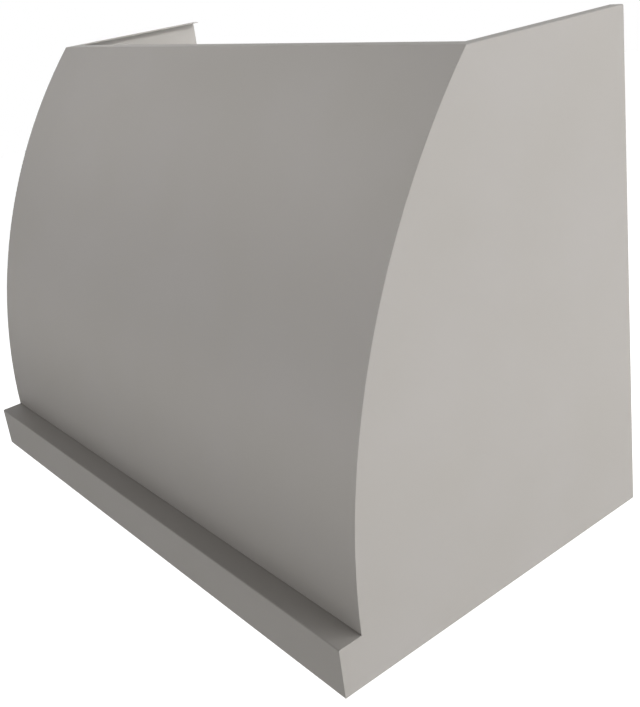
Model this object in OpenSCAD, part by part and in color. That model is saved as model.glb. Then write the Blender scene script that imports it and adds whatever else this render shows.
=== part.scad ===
// Wall-mounted range hood with a curved front, an open top and an open back.
// X runs to the right, Y to the wall, Z up. The origin is on the wall plane,
// on the centre line, level with the hood's bottom edge.

/* [Shell] */
// Width over the side panels
hood_w = 1066.8; // [960:0.1:1220]
// Height from the bottom edge to the open top
hood_h = 762; // [700:0.1:900]
// Depth at the bottom, from the wall to the apron's face
hood_d = 609.6; // [580:0.1:680]
// Depth at the top, from the wall to the front panel
top_d = 304.8; // [280:0.1:350]
// Height of the apron
apron_h = 76.2; // [70:0.1:100]
// Depth of the ledge on top of the apron
ledge_d = 38.1; // [30:0.1:50]
// Thickness of the painted sheet
shell_t = 1.5; // [1.2:0.1:2]
// Width of the flanges turned in along the open top
top_flange = 21; // [15:0.5:30]
// Width by which the front panel's foot and the ledge overlap
ledge_lap = 15; // [12:0.5:18]
// Width of the flanges turned in along the bottom
bottom_flange = 21.5; // [18:0.5:25]
// Height of the lips turned up from the bottom flanges
bottom_lip = 25; // [20:0.5:35]
// Inner radius of every bend
bend_r = 0.5; // [0.3:0.1:1]

/* [Wall mounting] */
// Height of the lower rail's back
rear_rail_h = 60; // [50:1:90]
// Height of the lower wall holes above the bottom edge
lower_hole_z = 36; // [34:1:37]
// Radius of the holes in the skirt through which the lower screws are driven
access_r = 8; // [6:0.5:9]
// Height of the top of the hanging rail
hanging_z = 640; // [600:1:690]
// Height of the hanging rail's face
hanging_rail_h = 80; // [60:1:100]
// Thickness of the hanging rail and the cleat
cleat_t = 2; // [1.5:0.1:3]
// Length of the cleat on the wall
cleat_w = 860; // [840:1:900]
// Height of the cleat's back
cleat_h = 50; // [40:1:60]
// Height of the cleat's lip above its back
cleat_lip = 20; // [15:1:25]
// Distance from the wall to the front of the cleat's lip
cleat_offset = 9; // [8:0.5:12]
// Distance between the outer wall holes
stud_span = 812.8; // [800:0.1:820]
// Distance between the inner wall holes
inner_span = 406.4; // [400:0.1:410]
// Radius of the wall holes
wall_hole_r = 4.5; // [3:0.1:6]

/* [Liner and filters] */
// Thickness of the stainless sheet
liner_t = 1.2; // [0.8:0.1:1.5]
// Height of the deck's underside above the bottom edge
deck_z = 46.8; // [42:0.1:60]
// Width of the deck's margin outside air box and hinge brackets
deck_margin = 12; // [10:0.5:15]
// Depth of the strip in front of the filters, for lamps and controls
front_strip = 130; // [126:1:140]
// Depth of the strip behind the filters
rear_strip = 30; // [28:1:40]
// Distance from the deck's side edge to the first filter cutout
side_strip = 24; // [23:1:30]
// Width of the bars between the filter cutouts
filter_bar = 14; // [12:0.5:20]
// Number of filters
filters = 3; // [3:2:3]
// Clearance round a filter in its cutout
filter_gap = 1.5; // [1:0.1:2]
// How far the filters hang below the deck's underside
filter_drop = 0.5; // [0.4:0.1:1]
// Thickness of a filter
filter_t = 22; // [20:0.5:24]
// Sheet thickness of the filter frames and baffles
filter_sheet = 0.8; // [0.6:0.1:1]
// Width of the filter frame at the sides and the rear
frame_rim = 14; // [12:0.5:18]
// Width of the filter frame at the front, under the handle
frame_front = 26; // [22:0.5:30]
// Width of one baffle
baffle_w = 28; // [26:0.5:30]
// Height of one baffle
baffle_h = 11; // [9.5:0.5:12]
// Number of lower baffles in a filter
baffles = 7; // [6:1:7]
// Length of a filter's handle between its posts
handle_w = 84; // [70:1:100]
// Drop of the handle below the filter
handle_drop = 22; // [18:1:24]
// Radius of the handle's rod
handle_r = 3; // [2.5:0.1:4]
// Radius of the rod that the filters swing on
hinge_r = 3; // [2.5:0.1:3.5]
// Wall of the knuckles round that rod
knuckle_wall = 1.5; // [1.2:0.1:2]
// Length of one filter knuckle
knuckle_w = 24; // [18:1:30]

/* [Air box and outlet] */
// Height of the air box above the deck
plenum_h = 304; // [300:1:320]
// Width of the air box's flanges
plenum_flange = 10; // [9:0.5:12]
// Space between the filter cutouts and the air box at the front
catch_strip = 24; // [22:1:30]
// Height of the box between the blower and the duct collar
outlet_h = 40; // [30:1:60]
// Outer radius of the duct collar, for a 203 mm duct
collar_r = 101; // [95:0.5:103]
// Height of the duct collar
collar_h = 76; // [60:1:90]
// Wall of the duct collar
collar_t = 1; // [0.8:0.1:1.2]
// Distance from the wall to the duct's axis
duct_y = 160; // [160:1:170]
// Radius of the damper's rod
damper_rod_r = 2; // [1.5:0.1:2.5]
// Thickness of a damper flap
flap_t = 0.8; // [0.6:0.1:1]

/* [Blower] */
// Outer radius of the impeller
impeller_r = 95; // [88:0.5:96]
// Length of the impeller
impeller_w = 190; // [180:1:194]
// Number of impeller blades
blades = 36; // [24:1:40]
// Depth of the blade ring
blade_d = 17; // [14:0.5:20]
// Radius of the blower housing at its tongue
scroll_r = 112; // [110:0.5:114]
// How much the housing's radius grows each quarter turn
scroll_step = 16; // [14:0.5:16]
// Gap between impeller and housing at each side
side_gap = 6; // [4:0.5:8]
// Height of the blower's axis above the deck
blower_z = 172; // [168:1:180]
// Radius of the two air inlets
inlet_r = 75; // [70:0.5:76]
// Radius of the motor's can
motor_r = 52; // [45:0.5:55]
// Length of the motor's can
motor_w = 88; // [80:1:92]
// Radius of the motor shaft
motor_shaft_r = 4; // [3:0.1:5]

/* [Lamps and controls] */
// Distance of each lamp from the side of the liner
lamp_inset = 181.6; // [150:0.1:200]
// Radius of the lamp's hole in the deck
lamp_hole_r = 31; // [28:0.5:32]
// Radius of the lamp's bezel
lamp_bezel_r = 37; // [35:0.5:40]
// Radius of the lamp's lens
lamp_lens_r = 25; // [20:0.5:26]
// Height of the lamp's heat sink
lamp_sink_h = 36; // [28:1:45]
// Radius of the lamp's heat sink
lamp_sink_r = 29; // [27:0.5:30]
// Width of the plate behind the knobs
control_w = 160; // [150:1:200]
// Depth of the plate behind the knobs
control_d = 60; // [50:1:70]
// Thickness of that plate
control_t = 2; // [1:0.1:3]
// Distance of each knob from the centre line
knob_x = 40; // [35:1:50]
// Radius of a knob
knob_r = 17; // [15:0.5:20]
// Height of a knob
knob_h = 17; // [14:0.5:20]
// Radius of a knob's stem
stem_r = 3; // [2.5:0.1:3.5]

/* [Wiring] */
// Width of the junction box
junction_w = 120; // [110:1:130]
// Depth of the junction box
junction_d = 80; // [70:1:90]
// Height of the junction box
junction_h = 48; // [44:1:60]
// Distance of the junction box's middle from the centre line
junction_x = 260; // [245:1:300]
// Radius of a cable
cable_r = 3.5; // [3:0.1:4]
// Radius of a cable's bends
cable_bend = 14; // [12:1:18]
// Inner radius of the inlet for the supply
inlet_bore_r = 8; // [7:0.1:9]

/* [Hidden] */
$fn = 96;

paint = "#b9b5b0";
stainless = "#b8bcbf";
galvanised = "#a7adb2";
black = "#2b2c2e";
white = "#e8e8e4";
zinc = "#c9ccd0";

// Clearances: round rods, parts that only have to clear each other, and screws in their holes
rod_gap = 0.05;
gap = 0.3;
screw_gap = 0.15;
// Longer than any piece, for cuts that run right through
through = 4000;

// The curve of the front: one arc, upright at the ledge, that meets the top's front edge
arc_dy = hood_d - ledge_d - top_d;
arc_dz = hood_h - apron_h;
arc_r = (arc_dy * arc_dy + arc_dz * arc_dz) / (2 * arc_dy);
arc_y = arc_r - (hood_d - ledge_d);
inner_w = hood_w - 2 * shell_t;
apron_bend = bend_r + shell_t;

// Skirt and deck of the liner
skirt_x = hood_w / 2 - bottom_flange - gap;
skirt_y0 = -(hood_d - bottom_flange - gap);
skirt_y1 = -(bottom_flange + gap);
skirt_z = 1;
deck_top = deck_z + liner_t;
deck_edge = 0.8;
lip_screw_z = 14;

// Filters
cut_y0 = skirt_y0 + front_strip;
cut_y1 = skirt_y1 - rear_strip;
cut_span = 2 * (skirt_x - side_strip);
cut_w = (cut_span - (filters - 1) * filter_bar) / filters;
cut_l = cut_y1 - cut_y0;
filter_pitch = cut_w + filter_bar;
filter_w = cut_w - 2 * filter_gap;
filter_l = cut_l - 2 * filter_gap;
filter_y0 = cut_y0 + filter_gap;
filter_y1 = cut_y1 - filter_gap;
filter_z = deck_z - filter_drop;
knuckle_r = hinge_r + rod_gap + knuckle_wall;
hinge_y = filter_y1 + 2;
hinge_z = filter_z - knuckle_r;
baffle_span = filter_w - 2 * filter_sheet - 2 * gap - baffle_w;
baffle_pitch = baffle_span / (baffles - 1);
bracket_t = 1.5;
bracket_y0 = cut_y1 + 2;
bracket_y1 = skirt_y1 - liner_t - deck_margin - gap;
bracket_foot = 14;
rod_head = 0.6;

// Air box
plenum_x = skirt_x - liner_t - deck_margin - 1;
plenum_y0 = cut_y0 - catch_strip;
plenum_y1 = cut_y1 + 8;
plenum_z = deck_top + plenum_h;
plenum_lid = plenum_z + liner_t;
plenum_out = liner_t + plenum_flange;
capacitor_x = 300;
capacitor_z = deck_top + 90;

// Blower
blower_axis_z = deck_top + blower_z;
half_step = scroll_step / 2;
outlet_back = half_step + scroll_r + 2 * scroll_step;
outlet_front = -half_step;
outlet_l = outlet_back - outlet_front;
blower_y = -duct_y - (outlet_front + outlet_back) / 2;
scroll_w = impeller_w + 2 * side_gap;
scroll_flange = 12;
flange_screw_x = scroll_w / 2 - 25;
disc_t = 2;
ring_t = 3;
blade_t = 1;
blade_curve = 14;
hub_r = 12;
hub_w = 24;
side_x = scroll_w / 2 + liner_t;
lip_r = 8;
motor_x1 = -24;
motor_x0 = motor_x1 - motor_w;
shaft_x1 = hub_w / 2 + 4;
shaft_x0 = motor_x1 - 36;
motor_cap = 6;
arm_t = 3;
arm_w = 16;
band_wall = 5;
bracket_foot_r = inlet_r + lip_r + 9;

// Outlet
collar_flange = 14;
outlet_x = collar_r + collar_flange;
outlet_z = plenum_lid + outlet_h;
outlet_flange = 11;
bead_w = 4;
bead_t = 1.5;
flap_r = collar_r - collar_t - 2.5;
damper_z = outlet_z + 14;
flap_knuckle_r = damper_rod_r + rod_gap + 1.2;
flap_edge = flap_knuckle_r + 0.6;
flap_knuckle_w = 29;
flap_knuckle_pitch = 45;

// Lamps and controls
strip_y = (skirt_y0 + cut_y0) / 2;
lamp_x = skirt_x - lamp_inset;
bezel_t = 3;
lens_step = 1;
lens_lip = 2;
fin_t = 2;
fin_pitch = 5;
sink_base = 10;
core_r = 12;
plate_z = deck_z - control_t;
knob_z1 = plate_z - 0.6;
knob_z0 = knob_z1 - knob_h;
bush_r = 4.8;
switch_w = 30;
switch_h = 22;
cover_h = 40;
cover_d = control_d - 4;
cover_t = 1;
driver_w = 90;
driver_d = 34;
driver_h = 24;
driver_body = driver_w / 2 - 10;
driver_x = control_w / 2 + 70;

// Junction box, on the air box behind the front edge and left of the outlet
junction_y = blower_y;
junction_t = 1.5;
junction_tab = 18;
inlet_z = plenum_lid + junction_h / 2;
clamp_flange_r = 15;
clamp_flange_t = 4;
clamp_nut_t = 3;
clamp_l = 18;
clamp_y1 = clamp_l - junction_t - clamp_nut_t - 1;
knockout_r = 11.1;

// Routes of the cables
box_cable_z = plenum_lid + cable_r + 4;
control_cable_y = plenum_y0 - plenum_out - cable_r - 6;
control_cable_z = deck_top + 16;
lamp_cable_y = strip_y - 4;
lamp_cable_z = deck_top + cable_r + 1.5;
motor_cable_x = -(side_x + arm_t + 30);

// Sheet-metal screws
screw_r = 2;
screw_head_r = 4;
screw_head_h = 2.2;
screw_l = 8;

// A strip of sheet folded square. Legs are measured over the bends; a turn of 1 goes left, of -1 right.
module folded(legs, turns, t, i = 0) {
    bend = bend_r + t;
    straight = legs[i] - (i > 0 ? bend : 0) - (i < len(turns) ? bend : 0);
    square([straight, t]);
    if (i < len(turns))
        translate([straight, turns[i] > 0 ? bend : -bend_r]) {
            mirror([0, turns[i] > 0 ? 1 : 0])
                bend_ring(bend);
            translate([turns[i] > 0 ? bend : bend_r, 0])
                rotate(90 * turns[i])
                    folded(legs, turns, t, i + 1);
        }
}

// The quarter ring of one bend
module bend_ring(bend) {
    intersection() {
        difference() {
            circle(bend);
            circle(bend_r);
        }
        square(bend);
    }
}

// Stands a drawing in the YZ plane and extends it along X, centred
module along_x(w) {
    rotate([90, 0, 90])
        linear_extrude(w, center = true)
            children();
}

// Stands a drawing in the XZ plane and extends it along Y from y0 to y1
module along_y(y0, y1) {
    translate([0, y1, 0])
        rotate([90, 0, 0])
            linear_extrude(y1 - y0)
                children();
}

// A box given by its lowest and highest corners
module block(low, high) {
    translate(low)
        cube(high - low);
}

// A rod along X, Y or Z whose middle is at a point
module rod(at, axis, r, l) {
    translate(at)
        rotate(axis == "x" ? [0, 90, 0] : axis == "y" ? [90, 0, 0] : [0, 0, 0])
            cylinder(r = r, h = l, center = true);
}

// A tube along an axis whose middle is at a point
module tube(at, axis, r, bore, l) {
    difference() {
        rod(at, axis, r, l);
        rod(at, axis, bore, l + 2);
    }
}

// A pan-head screw whose head sits at the origin and whose shank runs along -Z
module screw(l = screw_l) {
    cylinder(r = screw_head_r, h = screw_head_h);
    translate([0, 0, -l])
        cylinder(r = screw_r, h = l);
}

// The holes that such screws go through
module screw_hole(l = screw_l) {
    cylinder(r = screw_r + screw_gap, h = 2 * l, center = true);
}

// Outline of a side panel: apron with folded corners, ledge, curved front, flat top and back
module side_outline() {
    intersection() {
        translate([arc_y, apron_h])
            circle(arc_r, $fn = 720);
        translate([-(hood_d - ledge_d), apron_h])
            square([hood_d - ledge_d, arc_dz]);
    }
    translate([-hood_d + apron_bend, 0])
        square([hood_d - apron_bend, apron_h]);
    translate([-hood_d, apron_bend])
        square([apron_bend, apron_h - 2 * apron_bend]);
    for (z = [apron_bend, apron_h - apron_bend])
        translate([-hood_d + apron_bend, z])
            circle(apron_bend);
}

// Places of the liner's screws: along the sides, then along the front and the rear
side_screw_y = [for (i = [0:3]) skirt_y0 + 60 + i * (skirt_y1 - skirt_y0 - 120) / 3];
front_screw_x = [for (i = [0:4]) (i / 4 - 0.5) * (2 * skirt_x - 140)];

// Does what follows at each screw of one side of the liner, with Z pointing into the hood
module at_side_screws(side) {
    for (y = side_screw_y)
        translate([side * (skirt_x - liner_t), y, lip_screw_z])
            rotate([0, -90 * side, 0])
                children();
}

module at_front_screws() {
    for (x = front_screw_x)
        translate([x, skirt_y0 + liner_t, lip_screw_z])
            rotate([-90, 0, 0])
                children();
}

module at_rear_screws() {
    for (x = front_screw_x)
        translate([x, skirt_y1 - liner_t, lip_screw_z])
            rotate([90, 0, 0])
                children();
}

// Flat sheet with a flange in at the top, and a flange with a lip at the bottom
module side_panel(side) {
    color(paint)
        difference() {
            mirror([side < 0 ? 1 : 0, 0, 0])
                intersection() {
                    along_y(-hood_d, 0)
                        translate([hood_w / 2 - top_flange, hood_h - shell_t])
                            folded([top_flange, hood_h, bottom_flange, bottom_lip], [-1, -1, -1], shell_t);
                    along_x(through)
                        side_outline();
                    side_clear();
                }
            at_side_screws(side)
                screw_hole();
        }
}

// What a side panel may fill: all of its own sheet, and flanges that stop short of front, apron and rear rail
module side_clear() {
    block([inner_w / 2, -hood_d, 0], [hood_w / 2, 0, hood_h]);
    block([0, -top_d + top_flange, hood_h - apron_bend], [hood_w / 2, 0, hood_h]);
    block([0, -hood_d + bottom_flange, 0], [hood_w / 2, -bottom_flange, bottom_lip]);
}

module side_panel_left() {
    side_panel(-1);
}

module side_panel_right() {
    side_panel(1);
}

// Curved sheet with a flange at the top and one that stands on the ledge
module front_panel() {
    color(paint)
        along_x(inner_w) {
            intersection() {
                difference() {
                    translate([arc_y, apron_h])
                        circle(arc_r, $fn = 720);
                    translate([arc_y, apron_h])
                        circle(arc_r - shell_t, $fn = 720);
                }
                translate([-(hood_d - ledge_d), apron_h])
                    square([hood_d - ledge_d - top_d + top_flange, arc_dz]);
            }
            translate([-top_d, hood_h - shell_t])
                square([top_flange, shell_t]);
            translate([-(hood_d - ledge_d) + shell_t / 2, apron_h])
                square([ledge_lap - shell_t / 2, shell_t]);
        }
}

// Ledge, face, bottom flange and lip in one folded sheet
module apron() {
    color(paint)
        difference() {
            along_x(inner_w)
                translate([-(hood_d - ledge_d) + ledge_lap, apron_h])
                    rotate(180)
                        folded([ledge_d + ledge_lap, apron_h, bottom_flange, bottom_lip], [1, 1, 1], shell_t);
            at_front_screws()
                screw_hole();
        }
}

// Lip, bottom flange and back along the wall, with the lower wall holes
module rear_rail() {
    color(paint)
        difference() {
            along_x(inner_w)
                translate([-bottom_flange, bottom_lip])
                    rotate(-90)
                        folded([bottom_lip, bottom_flange, rear_rail_h], [1, 1], shell_t);
            at_rear_screws()
                screw_hole();
            for (x = [-stud_span / 2, stud_span / 2])
                rod([x, 0, lower_hole_z], "y", wall_hole_r, 4 * shell_t);
        }
}

// Hook of the hood over the cleat's lip: lip, top and face
module hanging_rail() {
    color(galvanised)
        along_x(inner_w)
            translate([-cleat_offset + cleat_t + gap + cleat_t, hanging_z - cleat_lip])
                rotate(90)
                    folded([cleat_lip, 3 * cleat_t + 2 * gap, hanging_rail_h], [1, 1], cleat_t);
}

// The strip on the wall: back with the wall holes, step and lip
module wall_cleat() {
    color(zinc)
        difference() {
            along_x(cleat_w)
                translate([0, cleat_z0])
                    rotate(90)
                        folded([cleat_h, cleat_offset, cleat_lip + cleat_t], [1, -1], cleat_t);
            for (x = [-stud_span / 2, -inner_span / 2, inner_span / 2, stud_span / 2])
                rod([x, 0, cleat_hole_z], "y", wall_hole_r, 4 * cleat_t);
        }
}

cleat_z0 = hanging_z - cleat_t - gap - cleat_lip - cleat_h;
cleat_hole_z = cleat_z0 + cleat_h / 2;

// Four walls inside the shell's lips, welded at the corners, with the deck on their top edges
module liner_skirt() {
    color(stainless)
        difference() {
            block([-skirt_x, skirt_y0, skirt_z], [skirt_x, skirt_y1, deck_z]);
            block([-skirt_x + liner_t, skirt_y0 + liner_t, 0],
                  [skirt_x - liner_t, skirt_y1 - liner_t, 2 * deck_z]);
            for (side = [-1, 1])
                at_side_screws(side)
                    screw_hole();
            at_front_screws()
                screw_hole();
            at_rear_screws()
                screw_hole();
            for (x = [-stud_span / 2, stud_span / 2])
                rod([x, skirt_y1, lower_hole_z], "y", access_r, 4 * liner_t);
        }
}

// Sheet with the cutouts for filters, lamps and the two controls
module filter_deck() {
    color(stainless)
        difference() {
            block([-skirt_x + deck_edge, skirt_y0 + deck_edge, deck_z],
                  [skirt_x - deck_edge, skirt_y1 - deck_edge, deck_top]);
            at_filters()
                block([-cut_w / 2, cut_y0, 0], [cut_w / 2, cut_y1, 2 * deck_top]);
            at_lamps(deck_z)
                cylinder(r = lamp_hole_r, h = 4 * liner_t, center = true);
            for (side = [-1, 1])
                rod([side * knob_x, strip_y, deck_z], "z", bush_r + gap, 20);
        }
}

// Screws through skirt and lips, with their heads inside the hollow
module liner_screws() {
    color(zinc) {
        for (side = [-1, 1])
            at_side_screws(side)
                screw();
        at_front_screws()
            screw();
        at_rear_screws()
            screw();
    }
}

// Does what follows at each filter's middle
module at_filters() {
    for (i = [0:filters - 1])
        at_filter(i)
            children();
}

module at_filter(i) {
    translate([(i - (filters - 1) / 2) * filter_pitch, 0, 0])
        children();
}

// Angles under the rear strip that hold the filters' rod
module hinge_brackets() {
    color(stainless)
        for (i = [0:filters])
            translate([(i - filters / 2) * filter_pitch, 0, 0])
                mirror([i > filters / 2 ? 1 : 0, 0, 0])
                    difference() {
                        union() {
                            block([-bracket_t / 2, hinge_y, hinge_z - knuckle_r],
                                  [bracket_t / 2, bracket_y1, deck_z]);
                            rod([0, hinge_y, hinge_z], "x", knuckle_r, bracket_t);
                            block([-bracket_t / 2, bracket_y0, deck_z - bracket_t],
                                  [bracket_foot, bracket_y1, deck_z]);
                        }
                        rod([0, hinge_y, hinge_z], "x", hinge_r + rod_gap, 4 * bracket_t);
                    }
}

// The rod, with a head beyond each outer bracket
module hinge_rod() {
    rod_l = filters * filter_pitch + 2 * bracket_t;
    color(stainless) {
        rod([0, hinge_y, hinge_z], "x", hinge_r, rod_l);
        for (side = [-1, 1])
            rod([side * rod_l / 2, hinge_y, hinge_z], "x", hinge_r + rod_head, bracket_t);
    }
}

// Two magnets over the front rail of each filter, on feet that stand on the deck
module magnet_catches() {
    magnet_w = 22;
    foot_d = 20;
    filter_top = filter_z + filter_t;
    color(black)
        at_filters()
            for (side = [-1, 1])
                translate([side * filter_w / 4, 0, 0]) {
                    block([-magnet_w / 2, cut_y0 - foot_d, deck_top],
                          [magnet_w / 2, cut_y0 - 2, filter_top + gap + 10]);
                    block([-magnet_w / 2, cut_y0 - 2, filter_top + gap],
                          [magnet_w / 2, cut_y0 + 12, filter_top + gap + 10]);
                }
}

// Hollow rim, knuckles round the rod at the rear, and a handle under the front rail
module filter_frame(i) {
    s = filter_sheet;
    color(stainless)
        at_filter(i)
            difference() {
                union() {
                    difference() {
                        block([-filter_w / 2, filter_y0, filter_z],
                              [filter_w / 2, filter_y1, filter_z + filter_t]);
                        block([-filter_w / 2 + s, filter_y0 + s, filter_z + s],
                            [filter_w / 2 - s, filter_y1 - s, filter_z + filter_t - s]);
                        block([-filter_w / 2 + frame_rim, filter_y0 + frame_front, 0],
                            [filter_w / 2 - frame_rim, filter_y1 - frame_rim, filter_z + 2 * filter_t]);
                    }
                    for (side = [-1, 1])
                        translate([side * (filter_w / 2 - 40), 0, 0])
                            filter_knuckle();
                    filter_handle();
                }
                rod([0, hinge_y, hinge_z], "x", hinge_r + rod_gap, filter_w);
            }
}

// One strap with its ring round the rod
module filter_knuckle() {
    rod([0, hinge_y, hinge_z], "x", knuckle_r, knuckle_w);
    block([-knuckle_w / 2, filter_y1 - frame_rim, filter_z - knuckle_wall],
          [knuckle_w / 2, hinge_y, filter_z]);
}

// Two posts and a bar, joined by round bends
module filter_handle() {
    y = filter_y0 + frame_front / 2;
    turn_r = 8;
    for (side = [-1, 1]) {
        translate([side * handle_w / 2, y, filter_z - handle_drop + turn_r])
            cylinder(r = handle_r, h = handle_drop - turn_r);
        translate([side * (handle_w / 2 - turn_r), y, filter_z - handle_drop + turn_r])
            rotate([90, 0, 0])
                rotate_extrude(angle = 90, start = side > 0 ? 270 : 180)
                    translate([turn_r, 0])
                        circle(handle_r);
    }
    rod([0, y, filter_z - handle_drop], "x", handle_r, handle_w - 2 * turn_r);
}

module filter_frame_left() {
    filter_frame(0);
}

module filter_frame_middle() {
    filter_frame(1);
}

module filter_frame_right() {
    filter_frame(2);
}

// One channel of folded sheet, open to the top
module baffle() {
    s = filter_sheet;
    difference() {
        translate([-baffle_w / 2, 0])
            square([baffle_w, baffle_h]);
        translate([-baffle_w / 2 + s, s])
            square([baffle_w - 2 * s, baffle_h]);
    }
}

// A row of open channels below, and a row turned over between them above
module filter_baffles(i) {
    color(stainless)
        at_filter(i)
            along_y(filter_y0 + filter_sheet + gap, filter_y1 - filter_sheet - gap) {
                for (k = [0:baffles - 1])
                    translate([(k - (baffles - 1) / 2) * baffle_pitch, filter_z + filter_sheet])
                        baffle();
                for (k = [0:baffles - 2])
                    translate([(k - (baffles - 2) / 2) * baffle_pitch, filter_z + filter_t - filter_sheet])
                        mirror([0, 1])
                            baffle();
            }
}

module filter_baffles_left() {
    filter_baffles(0);
}

module filter_baffles_middle() {
    filter_baffles(1);
}

module filter_baffles_right() {
    filter_baffles(2);
}

// Places of the screws round the air box's lid, along X and along Y
plenum_screw_x = [for (i = [0:3]) (i / 3 - 0.5) * (2 * plenum_x - 60)];
plenum_screw_y = [for (i = [0:2]) plenum_y0 + 40 + i * (plenum_y1 - plenum_y0 - 80) / 2];

// Wall of the air box at the front (side -1) or the back (side 1), with flanges at foot and top
module plenum_wall(side) {
    color(galvanised)
        difference() {
            translate([0, side < 0 ? plenum_y0 : plenum_y1, deck_top])
                mirror([0, side < 0 ? 0 : 1, 0])
                    along_x(2 * (plenum_x + liner_t))
                        mirror([1, 0])
                            plenum_section();
            at_lid_screws()
                screw_hole();
            at_outlet_screws()
                screw_hole();
        }
}

// Y of the screws in the top flange of such a wall
function wall_screw_y(side) =
    side < 0 ? plenum_y0 - liner_t - plenum_flange / 2
    : plenum_y1 + liner_t + plenum_flange / 2;

// Section of a wall with its inner face at 0: foot flange, wall and top flange, both flanges outwards
module plenum_section() {
    square([plenum_out, liner_t]);
    square([liner_t, plenum_h]);
    translate([0, plenum_h - liner_t])
        square([plenum_out, liner_t]);
}

module plenum_front() {
    plenum_wall(-1);
}

module plenum_back() {
    plenum_wall(1);
}

// Side wall of the air box, between the front and the back walls
module plenum_end(side) {
    color(galvanised)
        difference() {
            mirror([side < 0 ? 1 : 0, 0, 0])
                translate([plenum_x, 0, deck_top])
                    along_y(plenum_y0, plenum_y1)
                        plenum_section();
            at_lid_screws()
                screw_hole();
        }
}

// X of the screws in the top flange of such a wall
function end_screw_x(side) = side * (plenum_x + liner_t + plenum_flange / 2);

module plenum_left() {
    plenum_end(-1);
}

module plenum_right() {
    plenum_end(1);
}

// Lid of the air box, with the blower's outlet and the motor cable's hole
module plenum_top() {
    x = plenum_x + plenum_out;
    color(galvanised)
        difference() {
            block([-x, plenum_y0 - plenum_out, plenum_z], [x, plenum_y1 + plenum_out, plenum_lid]);
            block([-scroll_w / 2, blower_y + outlet_front, 0],
                  [scroll_w / 2, blower_y + outlet_back, 2 * plenum_z]);
            rod([motor_cable_x, blower_y, plenum_z], "z", cable_r + 3, 20);
            at_lid_screws()
                screw_hole();
            at_blower_screws()
                screw_hole();
            at_outlet_screws()
                screw_hole();
        }
}

// Screws round the lid's rim
module at_lid_screws() {
    for (side = [-1, 1], x = plenum_screw_x)
        translate([x, wall_screw_y(side), plenum_lid])
            children();
    for (side = [-1, 1], y = plenum_screw_y)
        translate([end_screw_x(side), y, plenum_lid])
            children();
}

// Screws through the lid into the blower's two flanges
module at_blower_screws() {
    for (x = [-flange_screw_x, flange_screw_x],
         y = [outlet_front - scroll_flange / 2, outlet_back + scroll_flange / 2])
        translate([x, blower_y + y, plenum_lid])
            children();
}

// Air space of the blower's housing: three quarter discs that grow, and the way out at the top
module scroll_space(grow) {
    quarter([-half_step, -half_step], scroll_r + grow, [-1, 1]);
    quarter([half_step, -half_step], scroll_r + scroll_step + grow, [-1, -1]);
    quarter([half_step, half_step], scroll_r + 2 * scroll_step + grow, [1, -1]);
    translate([-half_step, -half_step])
        square(scroll_step);
    translate([outlet_front - grow, half_step])
        square([outlet_l + 2 * grow, plenum_z - blower_axis_z - half_step]);
}

// A quarter of a disc round a corner point, in the quadrant given by two signs
module quarter(at, r, signs) {
    translate(at)
        intersection() {
            circle(r);
            translate([signs[0] < 0 ? -r : 0, signs[1] < 0 ? -r : 0])
                square(r);
        }
}

// Rolled sheet round the blower, with a flange in front of its outlet and one behind it
module scroll_wrapper() {
    color(galvanised)
        difference() {
            translate([0, blower_y, blower_axis_z])
                along_x(scroll_w)
                    difference() {
                        union() {
                            scroll_space(liner_t);
                            translate([outlet_front - scroll_flange, plenum_z - blower_axis_z - liner_t])
                                square([outlet_l + 2 * scroll_flange, liner_t]);
                        }
                        scroll_space(0);
                    }
            at_blower_screws()
                screw_hole();
        }
}

// Flat cheek of the blower with its rolled-in inlet
module scroll_side(side) {
    color(galvanised)
        translate([0, blower_y, blower_axis_z])
            mirror([side < 0 ? 1 : 0, 0, 0])
                union() {
                    difference() {
                        translate([scroll_w / 2 + liner_t / 2, 0, 0])
                            along_x(liner_t)
                                scroll_space(liner_t);
                        rod([side_x, 0, 0], "x", inlet_r + lip_r + 1, 2 * liner_t + 1);
                        if (side < 0)
                            at_bracket_feet()
                                screw_hole();
                    }
                    translate([side_x, 0, 0])
                        rotate([0, -90, 0])
                            inlet_lip();
                }
}

// Quarter-round roll that leads the air in, from the cheek's outside towards +Z
module inlet_lip() {
    rotate_extrude()
        translate([inlet_r + lip_r, 0]) {
            square([2, liner_t]);
            translate([0, lip_r])
                intersection() {
                    difference() {
                        circle(lip_r);
                        circle(lip_r - liner_t);
                    }
                    translate([-lip_r, -lip_r])
                        square(lip_r);
                }
        }
}

module scroll_side_left() {
    scroll_side(-1);
}

module scroll_side_right() {
    scroll_side(1);
}

// Does what follows at each foot of the motor's bracket, for a cheek mirrored to the right
module at_bracket_feet() {
    for (a = [90, 210, 330])
        rotate([a, 0, 0])
            translate([side_x, bracket_foot_r, 0])
                rotate([0, 90, 0])
                    children();
}

// Three flat arms with a band round the motor's outer end
module motor_bracket() {
    color(black)
        translate([0, blower_y, blower_axis_z])
            mirror([1, 0, 0])
                difference() {
                    union() {
                        for (a = [90, 210, 330])
                            rotate([a, 0, 0])
                                block([side_x, 0, -arm_w / 2],
                                      [side_x + arm_t, bracket_foot_r + arm_w / 2, arm_w / 2]);
                        rod([side_x + arm_t / 2, 0, 0], "x", motor_r + gap + band_wall, arm_t);
                    }
                    rod([side_x, 0, 0], "x", motor_r + rod_gap, 8 * arm_t);
                    at_bracket_feet()
                        screw_hole();
                }
}

// Round can with end caps, and the bore that the shaft turns in
module motor() {
    mid = [(motor_x0 + motor_x1) / 2, 0, 0];
    color(black)
        translate([0, blower_y, blower_axis_z])
            difference() {
                union() {
                    rod(mid, "x", motor_r, motor_w - 2 * motor_cap);
                    rod(mid, "x", motor_r - motor_cap, motor_w);
                }
                rod([motor_x1, 0, 0], "x", motor_shaft_r + rod_gap, 2 * (motor_x1 - shaft_x0 + 1));
            }
}

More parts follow.
